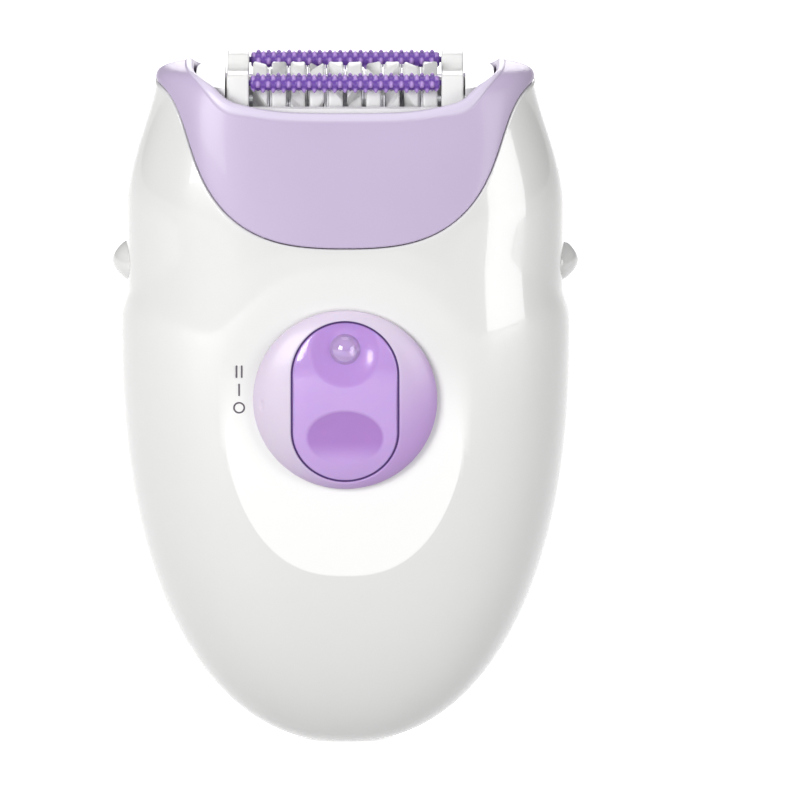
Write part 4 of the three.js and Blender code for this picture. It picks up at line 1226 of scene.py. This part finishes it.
# ---- Thumb switch ----------------------------------------------------------------------------------
@dataclass
class ThumbSwitch:
    """The domed disc that slides up the handle, with its translucent window and lamp."""

    z: float = 62.6
    radius: float = 15.1
    back: float = 19.2
    rim: float = 20.1
    crown: float = 3.5
    window_radius: float = 8.9
    window_half: float = 13.65
    window_gap: float = 0.3
    sink: float = 0.22
    pocket: float = 20.4
    edge: float = 0.3
    lamp_z: float = 71.4
    lamp_radius: float = 2.8
    lamp_tip: float = 23.25
    bowl_radius: float = 5.9
    bowl_depth: float = 1.15
    dent_z: float = 56.9
    dent_half: tuple[float, float] = (6.6, 4.9)
    dent_depth: float = 0.55
    tick: tuple[float, float] = (-13.7, 62.1)  # middle of the small tick on the disc
    tick_half: tuple[float, float] = (0.28, 0.75)
    tick_depth: float = 0.16
    back_roll: float = 0.2
    lamp_back: float = 20.7

    def depth(self, radius: Array) -> Array:
        """How far in front of the axis the dome is: rim + crown (1 - (r/R)^2.4)^0.7."""
        share = np.clip(radius / self.radius, 0.0, 1.0)
        return self.rim + self.crown * (1.0 - share**2.4) ** 0.7

    def reach(self, angle: Array, shrink: float = 0.0) -> Array:
        """Distance from the middle to the window's outline, which is a slot with round ends.

        On the straight sides it is R/|cos a|, and on the ends c|sin a| + sqrt(R^2 - c^2 cos^2 a), where R is
        the end's radius and c its distance from the middle.

        Args:
            angle: direction from the middle.
            shrink: how far inside the outline.

        Returns:
            The distance.
        """
        end = self.window_radius - shrink
        offset = self.window_half - self.window_radius
        sine, cosine = np.abs(np.sin(angle)), np.abs(np.cos(angle))
        straight = end / np.maximum(cosine, 1e-9)
        curved = offset * sine + np.sqrt(np.maximum(end**2 - (offset * cosine) ** 2, 0.0))
        return np.where(straight * sine <= offset, straight, curved)

    def ring(self) -> Surface:
        """The disc: pocket floor, pocket wall, rolled inner edge, dome, rim and back."""
        angle = full_circle(256)
        inner = self.reach(angle)
        roll = np.linspace(0.0, QUARTER, 5)[:, None]
        over = self.edge * (1 - np.cos(roll))
        drop = self.edge * (1 - np.sin(roll))
        run = 1.0 - (1.0 - np.linspace(0.0, 1.0, 34)[1:, None]) ** 1.8
        spread = inner + over[-1] + (self.radius - inner - over[-1]) * run
        radius = np.concatenate([inner[None], inner + over, spread])
        depth = np.concatenate([
            np.full((1, angle.size), self.pocket),
            self.depth(inner + over) - drop,
            self.depth(spread),
        ])
        front_rows = radius.shape[0]
        back_in = (self.radius - self.back_roll * (1 - np.cos(roll)))[:, :1] + angle * 0
        back_depth = self.back + self.back_roll * (1 - np.sin(roll)) + angle * 0
        radius = np.concatenate([radius, back_in])
        depth = np.concatenate([depth, back_depth])
        x, z = radius * np.cos(angle), self.z + radius * np.sin(angle)
        across, up = (x - self.tick[0]) / self.tick_half[0], (z - self.tick[1]) / self.tick_half[1]
        tick = np.exp(-(across**6)) * np.exp(-(up**6))
        front = np.arange(radius.shape[0])[:, None] < front_rows
        # Painted shade: the disc's colour deepens towards its lower right.
        painted_light = smoothstep(-0.35, 1.0, (0.75 * x - 0.66 * (z - self.z)) / self.radius)
        depth = depth - self.tick_depth * tick * front
        return Surface(Axis.Y.points(-depth, x, z), lids=(0, -1), painted_light=painted_light)

    def window(self) -> Surface:
        """The window: the dome sunk a little, with a bowl round the lamp and a rest for the thumb.

        The bowl is b (1 - d^2)^1.3 deep at the share d of its radius from the lamp, and the rest is
        t (1 - p^2)^k at the share p of its ellipse, with k small above, for a crisp edge, and large below.
        """
        angle = full_circle(224)
        outer = self.reach(angle, self.window_gap)
        share = np.concatenate([np.linspace(0.0, 1.0, 92) * 0.97, [0.98]])[:, None]
        roll = np.linspace(0.0, QUARTER, 5)[::-1][:, None]
        radius = np.concatenate([outer * share, outer - self.edge * (1 - np.cos(roll)) * 0.8])
        drop = np.concatenate([np.zeros((share.size, 1)), self.edge * (1 - np.sin(roll)) * 0.8])
        x, z = radius * np.cos(angle), self.z + radius * np.sin(angle)
        from_lamp = np.hypot(x, z - self.lamp_z) / self.bowl_radius
        bowl = self.bowl_depth * np.clip(1.0 - from_lamp**2, 0.0, 1.0) ** 1.3
        up = (z - self.dent_z) / self.dent_half[1]
        place = np.clip(1.0 - (x / self.dent_half[0]) ** 2 - up**2, 0.0, 1.0)
        softness = 0.75 + 0.9 * smoothstep(0.35, -0.9, up)
        dent = self.dent_depth * place**softness
        depth = self.depth(radius) - self.sink - bowl - dent - drop
        floor = self.pocket + 0.25
        radius = np.concatenate([radius, outer[None]])
        depth = np.concatenate([depth, np.full((1, angle.size), floor)])
        # Painted shade: the thumb rest, deepest in its upper part, and more lightly the bowl round the lamp,
        # take the deeper violet.
        thumb = 0.85 * smoothstep(0.0, 0.2, place) * smoothstep(-1.0, -0.1, up)
        painted_light = np.concatenate([thumb + 0.25 * smoothstep(1.0, 0.9, from_lamp), np.zeros((1, angle.size))])
        x, z = radius * np.cos(angle), self.z + radius * np.sin(angle)
        return Surface(Axis.Y.points(-depth, x, z), lids=(-1,), painted_light=painted_light)

    def seal(self) -> Surface:
        """Painted shade in the groove round the window: a thin, dark closed ring just under the dome."""
        angle = full_circle(224)
        inner, outer = self.reach(angle, self.window_gap - 0.01), self.reach(angle, 0.01)
        top = self.depth(outer) - 0.30
        rows = [(inner, top - 0.5), (inner, top), (outer, top), (outer, top - 0.5)]
        points = [Axis.Y.points(-depth, r * np.cos(angle), self.z + r * np.sin(angle)) for r, depth in rows]
        return Surface(np.stack(points), ring_rows=True)

    def lamp(self) -> Surface:
        """The lamp's lens: a short cylinder with a round end."""
        base = self.lamp_tip - self.lamp_radius
        bend = np.linspace(0.0, QUARTER, 14)[1:]
        dome = np.stack([-(base + self.lamp_radius * np.sin(bend)), self.lamp_radius * np.cos(bend)], axis=-1)
        dome[-1, 1] = 0.0
        stem = [[-self.lamp_back, 0.0], [-self.lamp_back, self.lamp_radius], [-base, self.lamp_radius]]
        profile = np.concatenate([stem, dome])
        angle = full_circle(48)
        along = np.repeat(profile[:, :1], angle.size, axis=1)
        x = profile[:, 1:] * np.cos(angle)
        z = self.lamp_z + profile[:, 1:] * np.sin(angle)
        return Surface(Axis.Y.points(along, x, z))

    def build(self) -> None:
        """Makes the disc, window, a dark ring of painted shade in the window's groove, lamp and carrier."""
        shown_as(mesh_of("switch_disc", [self.ring()]), "switch_button", DISC)
        shown_as(mesh_of("switch_window", [self.window()]), "light_window")
        # A dark ring of painted shade in the groove round the window.
        added_to(mesh_of("window_groove_shade", [self.seal()]), "thumb_switch", "violet_window", GROOVE_SHADE_FINISH)
        shown_as(mesh_of("lamp_lens", [self.lamp()]), "led_lamp")
        carrier = [
            block((-7.0, -16.5, 56.0), (7.0, -15.4, 69.6)),
            block((-2.6, -19.7, 59.6), (2.6, -16.3, 65.6)),
            block((-0.9, -15.6, 61.6), (0.9, -13.6, 63.6), 0.2),
        ]
        shown_as(mesh_of("switch_slider", carrier), "switch_carrier")


@dataclass
class SpeedMarks:
    """The raised marks beside the switch: two bars, one bar and a ring."""

    x: float = -17.4
    heights: tuple[float, float, float] = (67.12, 64.03, 61.0)
    bar: tuple[float, float] = (0.27, 2.1)
    apart: float = 0.87
    ring: float = 0.98
    back: float = -18.85
    front: float = -18.95

    def strip(self, x: float, z: float) -> Surface:
        """One upright bar."""
        half_x, half_z = self.bar[0] / 2, self.bar[1] / 2
        corners = np.array([[-half_x, -half_z], [half_x, -half_z], [half_x, half_z], [-half_x, half_z]])
        return prism(filleted(corners, 0.12), (self.front, self.back), Axis.Y, 0.02, centre=(x, z))

    def circle(self, z: float) -> Surface:
        """One ring."""
        inner, outer = self.ring - self.bar[0], self.ring
        corners = [(self.back, inner), (self.back, outer), (self.front, outer), (self.front, inner)]
        return turned(np.array(corners), Axis.Y, (self.x, z), 0.02, 48, True)

    def build(self) -> None:
        """Makes the three marks."""
        high, middle, low = self.heights
        pair = [self.strip(self.x + shift * self.apart / 2, high) for shift in (-1.0, 1.0)]
        for name, surfaces in (
            ("mark_two", pair),
            ("mark_one", [self.strip(self.x, middle)]),
            ("mark_off", [self.circle(low)]),
        ):
            added_to(mesh_of(name, surfaces), "housing", "grey_plastic", PRINT)


# ---- Release buttons -------------------------------------------------------------------------------
@dataclass
class Release:
    """A release button in the side of the handle, with its catch and its return spring."""

    z: float = 81.2
    tip: float = 38.4
    radii: tuple[float, float, float] = (3.4, 4.8, 3.5)
    spring_z: float = 79.2
    spring_radius: float = 1.7
    spring_ends: tuple[float, float] = (26.6, 30.6)
    wire: float = 0.28
    turns: int = 5
    seat: float = 26.3
    keep: float = 0.63

    def cap(self, side: float) -> Surface:
        """The button's cap: x = c + a (1 - p^1.6)^(1/1.6) at the share p of its ellipse; smooth back."""
        rise, half_y, half_z = self.radii
        angle = full_circle(56)
        share = np.sin(np.linspace(0.0, QUARTER, 22))[:, None]
        front = (1 - share**1.6) ** (1 / 1.6)
        share = np.concatenate([share, share[::-1][1:]])
        along = np.concatenate([front, -0.55 * front[::-1][1:]])
        x = side * (self.tip - rise + rise * along) + angle * 0
        y, z = half_y * share * np.cos(angle), self.z + half_z * share * np.sin(angle)
        return Surface(np.stack([x, y, z], axis=-1))

    def arms(self, side: float) -> list[Surface]:
        """Flange, neck, arm and hook behind the cap, all as moulded blocks."""
        boxes = [
            ((31.2, -5.6, 76.8), (32.4, 5.6, 85.3)),
            ((32.2, -3.6, 79.0), (34.5, 3.6, 83.4)),
            ((25.6, -2.2, 82.6), (31.4, 2.2, 84.2)),
            ((25.6, -2.2, 82.6), (26.6, 2.2, 87.4)),
        ]
        made = []
        for low, high in boxes:
            left, right = sorted((side * low[0], side * high[0]))
            made.append(block((left, low[1], low[2]), (right, high[1], high[2])))
        return made

    def spring(self, side: float) -> Surface:
        """The spring: a helix of constant pitch along X."""
        t = np.linspace(0.0, 1.0, 30 * self.turns + 1)
        angle = t * self.turns * TURN
        low, high = self.spring_ends
        path = np.stack([
            side * (low + (high - low) * t),
            self.spring_radius * np.cos(angle),
            self.spring_z + self.spring_radius * np.sin(angle),
        ], axis=-1)
        tangent = unit(np.gradient(path, axis=0))
        radial = np.stack([t * 0, np.cos(angle), np.sin(angle)], axis=-1)
        other = np.cross(tangent, radial)
        around = full_circle(10)[None, :, None]
        ring = np.cos(around) * radial[:, None] + np.sin(around) * other[:, None]
        return Surface(path[:, None] + self.wire * ring, lids=(0, -1))

    def build(self, where: str, side: float) -> None:
        """Makes one button and its spring.

        Args:
            where: "left" or "right".
            side: -1 or 1.
        """
        button = mesh_of(f"release_cap_{where}", [self.cap(side), *self.arms(side)])
        shown_as(button, f"release_button_{where}")
        coil = mesh_of(f"return_spring_{where}", [self.spring(side)])
        shown_as(coil, f"release_spring_{where}")
        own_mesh(coil)


# ---- Inside ----------------------------------------------------------------------------------------
@dataclass
class Inside:
    """Pieces inside the handle and at its foot."""

    motor_z: float = 67.9

    def wiring(self) -> None:
        """Makes the supply wires and the motor's leads as smooth round wires."""
        solder = -10.1
        routes = {
            "supply_wire_left": [
                (-3.1, 0, 14.6), (-3.6, -0.6, 21), (-2.6, -4.5, 31), (-1, -8.6, 40), (-1, solder, 46.5),
            ],
            "supply_wire_right": [
                (3.1, 0, 14.6), (3.6, -0.6, 21), (4.2, -4.5, 31), (4.5, -8.6, 40), (4.5, solder, 46.5),
            ],
            "motor_lead_front": [
                (-22.3, -4.5, self.motor_z), (-23.2, -7, 64.5), (-20.5, -9.4, 60), (-15.5, solder, 58),
            ],
            "motor_lead_rear": [
                (-22.3, 4.5, self.motor_z), (-24, 1.5, 61), (-22.5, -5, 54.5), (-19, -9, 51.5),
                (-15.5, solder, 50.5),
            ],
        }
        for node, points in routes.items():
            shown_as(mesh_of(f"round_{node}", [swept(through(points), 0.55)]), node)

    def build(self) -> None:
        """Makes the wires, pins, screws and the inlet."""
        self.wiring()
        for where, side in (("left", -1.0), ("right", 1.0)):
            pin = turned(
                np.array([(1.2, 0), (1.2, 0.6), (14, 0.6), (14, 0)]), Axis.Z, (side * 3.1, 0.0), 0.5, 28
            )
            shown_as(mesh_of(f"contact_pin_{where}", [pin]), f"inlet_pin_{where}")
            shown_as(softened(f"shell_screw_{where}", 0.12, f"cross_screw_{where}"), f"shell_screw_{where}")
        shown_as(softened("power_inlet", 0.2, "inlet_insert"), "power_inlet")
        shown_as(softened("head_frame", 0.35, "head_tray", 3), "head_frame")


# ---- Studio ----------------------------------------------------------------------------------------
@dataclass(frozen=True)
class Lamp:
    """A square soft lamp that faces the middle of the handle."""

    name: str
    place: tuple[float, float, float]
    size: float  # length of its side, in metres
    power: float  # in watts
    facing: tuple[float, float, float] = (0.0, 0.0, 0.065)

    def build(self) -> None:
        """Makes the lamp."""
        light = bpy.data.lights.new(self.name, "AREA")
        light.shape = "SQUARE"
        light.size = self.size
        light.energy = self.power
        made = bpy.data.objects.new(self.name, light)
        bpy.context.scene.collection.objects.link(made)
        made.location = self.place
        aim = Vector(self.facing)
        made.rotation_euler = (aim - made.location).to_track_quat("-Z", "Y").to_euler()


@dataclass
class Studio:
    """A plain pale floor, soft lamps and the camera."""

    distance: float = 3.4
    view_width: float = 0.132
    elevation: float = 15.0
    floor_reach: float = 30000.0
    floor_drop: float = 0.2
    ambient: float = 0.29  # strength of the surroundings as a light
    aim: tuple[float, float, float] = (0.009, 0.0024, 0.05725)
    sensor: float = 36.0  # width of the camera's sensor, in millimetres
    lamps: tuple[Lamp, ...] = (
        Lamp("key", (-0.56, -0.84, 0.42), 0.50, 8.1),
        Lamp("fill", (0.75, -0.60, 0.25), 0.50, 2.9),
        Lamp("back", (0.05, 0.95, 0.40), 0.50, 2.6),
        Lamp("top", (0.0, 0.10, 1.0), 0.6, 1.8),
    )

    def camera(self) -> None:
        """Sets a long lens at the viewing angle, so that the view is as wide as asked at the aim."""
        lens = bpy.data.cameras.new("camera")
        lens.sensor_width = self.sensor
        lens.lens = self.sensor * self.distance / self.view_width
        lens.clip_start = 0.05
        eye = bpy.data.objects.new("camera", lens)
        bpy.context.scene.collection.objects.link(eye)
        tilt = math.radians(self.elevation)
        aim = Vector(self.aim)
        eye.location = aim + self.distance * Vector((0.0, -math.cos(tilt), math.sin(tilt)))
        eye.rotation_euler = (aim - eye.location).to_track_quat("-Z", "Y").to_euler()
        bpy.context.scene.camera = eye

    def floor(self) -> None:
        """A wide plain floor just under the foot."""
        side = np.array([-self.floor_reach, self.floor_reach])
        corners = Axis.Z.points(np.array(-self.floor_drop), side[None, :], side[:, None])
        made = mesh_of("floor", [Surface(corners, ring_columns=False)])
        finish = Finish(
            "floor", (0.985, 0.985, 0.985), 0.6, drift=0.004, drift_size=60.0, relief=0.0005, glow=0.62,
        )
        WARDROBE.dress(made, finish)
        made.visible_diffuse = False

    def surroundings(self) -> None:
        """Plain surroundings that are seen as white and light the piece at the ambient strength."""
        world = bpy.data.worlds.new("studio")
        world.use_nodes = True
        nodes, links = world.node_tree.nodes, world.node_tree.links
        surround = nodes["Background"]
        surround.inputs["Color"].default_value = (1.0, 1.0, 1.0, 1.0)
        seen = nodes.new("ShaderNodeLightPath")
        strength = nodes.new("ShaderNodeMapRange")
        strength.inputs["To Min"].default_value = self.ambient
        links.new(seen.outputs["Is Camera Ray"], strength.inputs["Value"])
        links.new(strength.outputs["Result"], surround.inputs["Strength"])
        bpy.context.scene.world = world
        bpy.context.scene.view_settings.view_transform = "Standard"

    def build(self) -> None:
        """Makes the floor, the camera, the lamps and the surroundings."""
        self.floor()
        self.camera()
        for lamp in self.lamps:
            lamp.build()
        self.surroundings()


def main() -> None:
    """Builds the pieces in order."""
    logging.basicConfig(level=logging.INFO, format="%(message)s")
    form = HandleForm()
    Studio().build()
    Housing(form).build()
    Collar(form).build()
    Barrel().build()
    for where, side in (("left", -1.0), ("right", 1.0)):
        Bracket().build(f"end_bracket_{where}", f"roller_bracket_{where}", side)
        Release().build(where, side)
    MassageRoller().build("massage_roll_front", "massage_roller_front", -1.0)
    MassageRoller().build("massage_roll_rear", "massage_roller_rear", 1.0)
    ThumbSwitch().build()
    SpeedMarks().build()
    Inside().build()
    LOG.info("%d CAD nodes keep their shape", WARDROBE.carry_over())


if __name__ == "__main__":
    main()
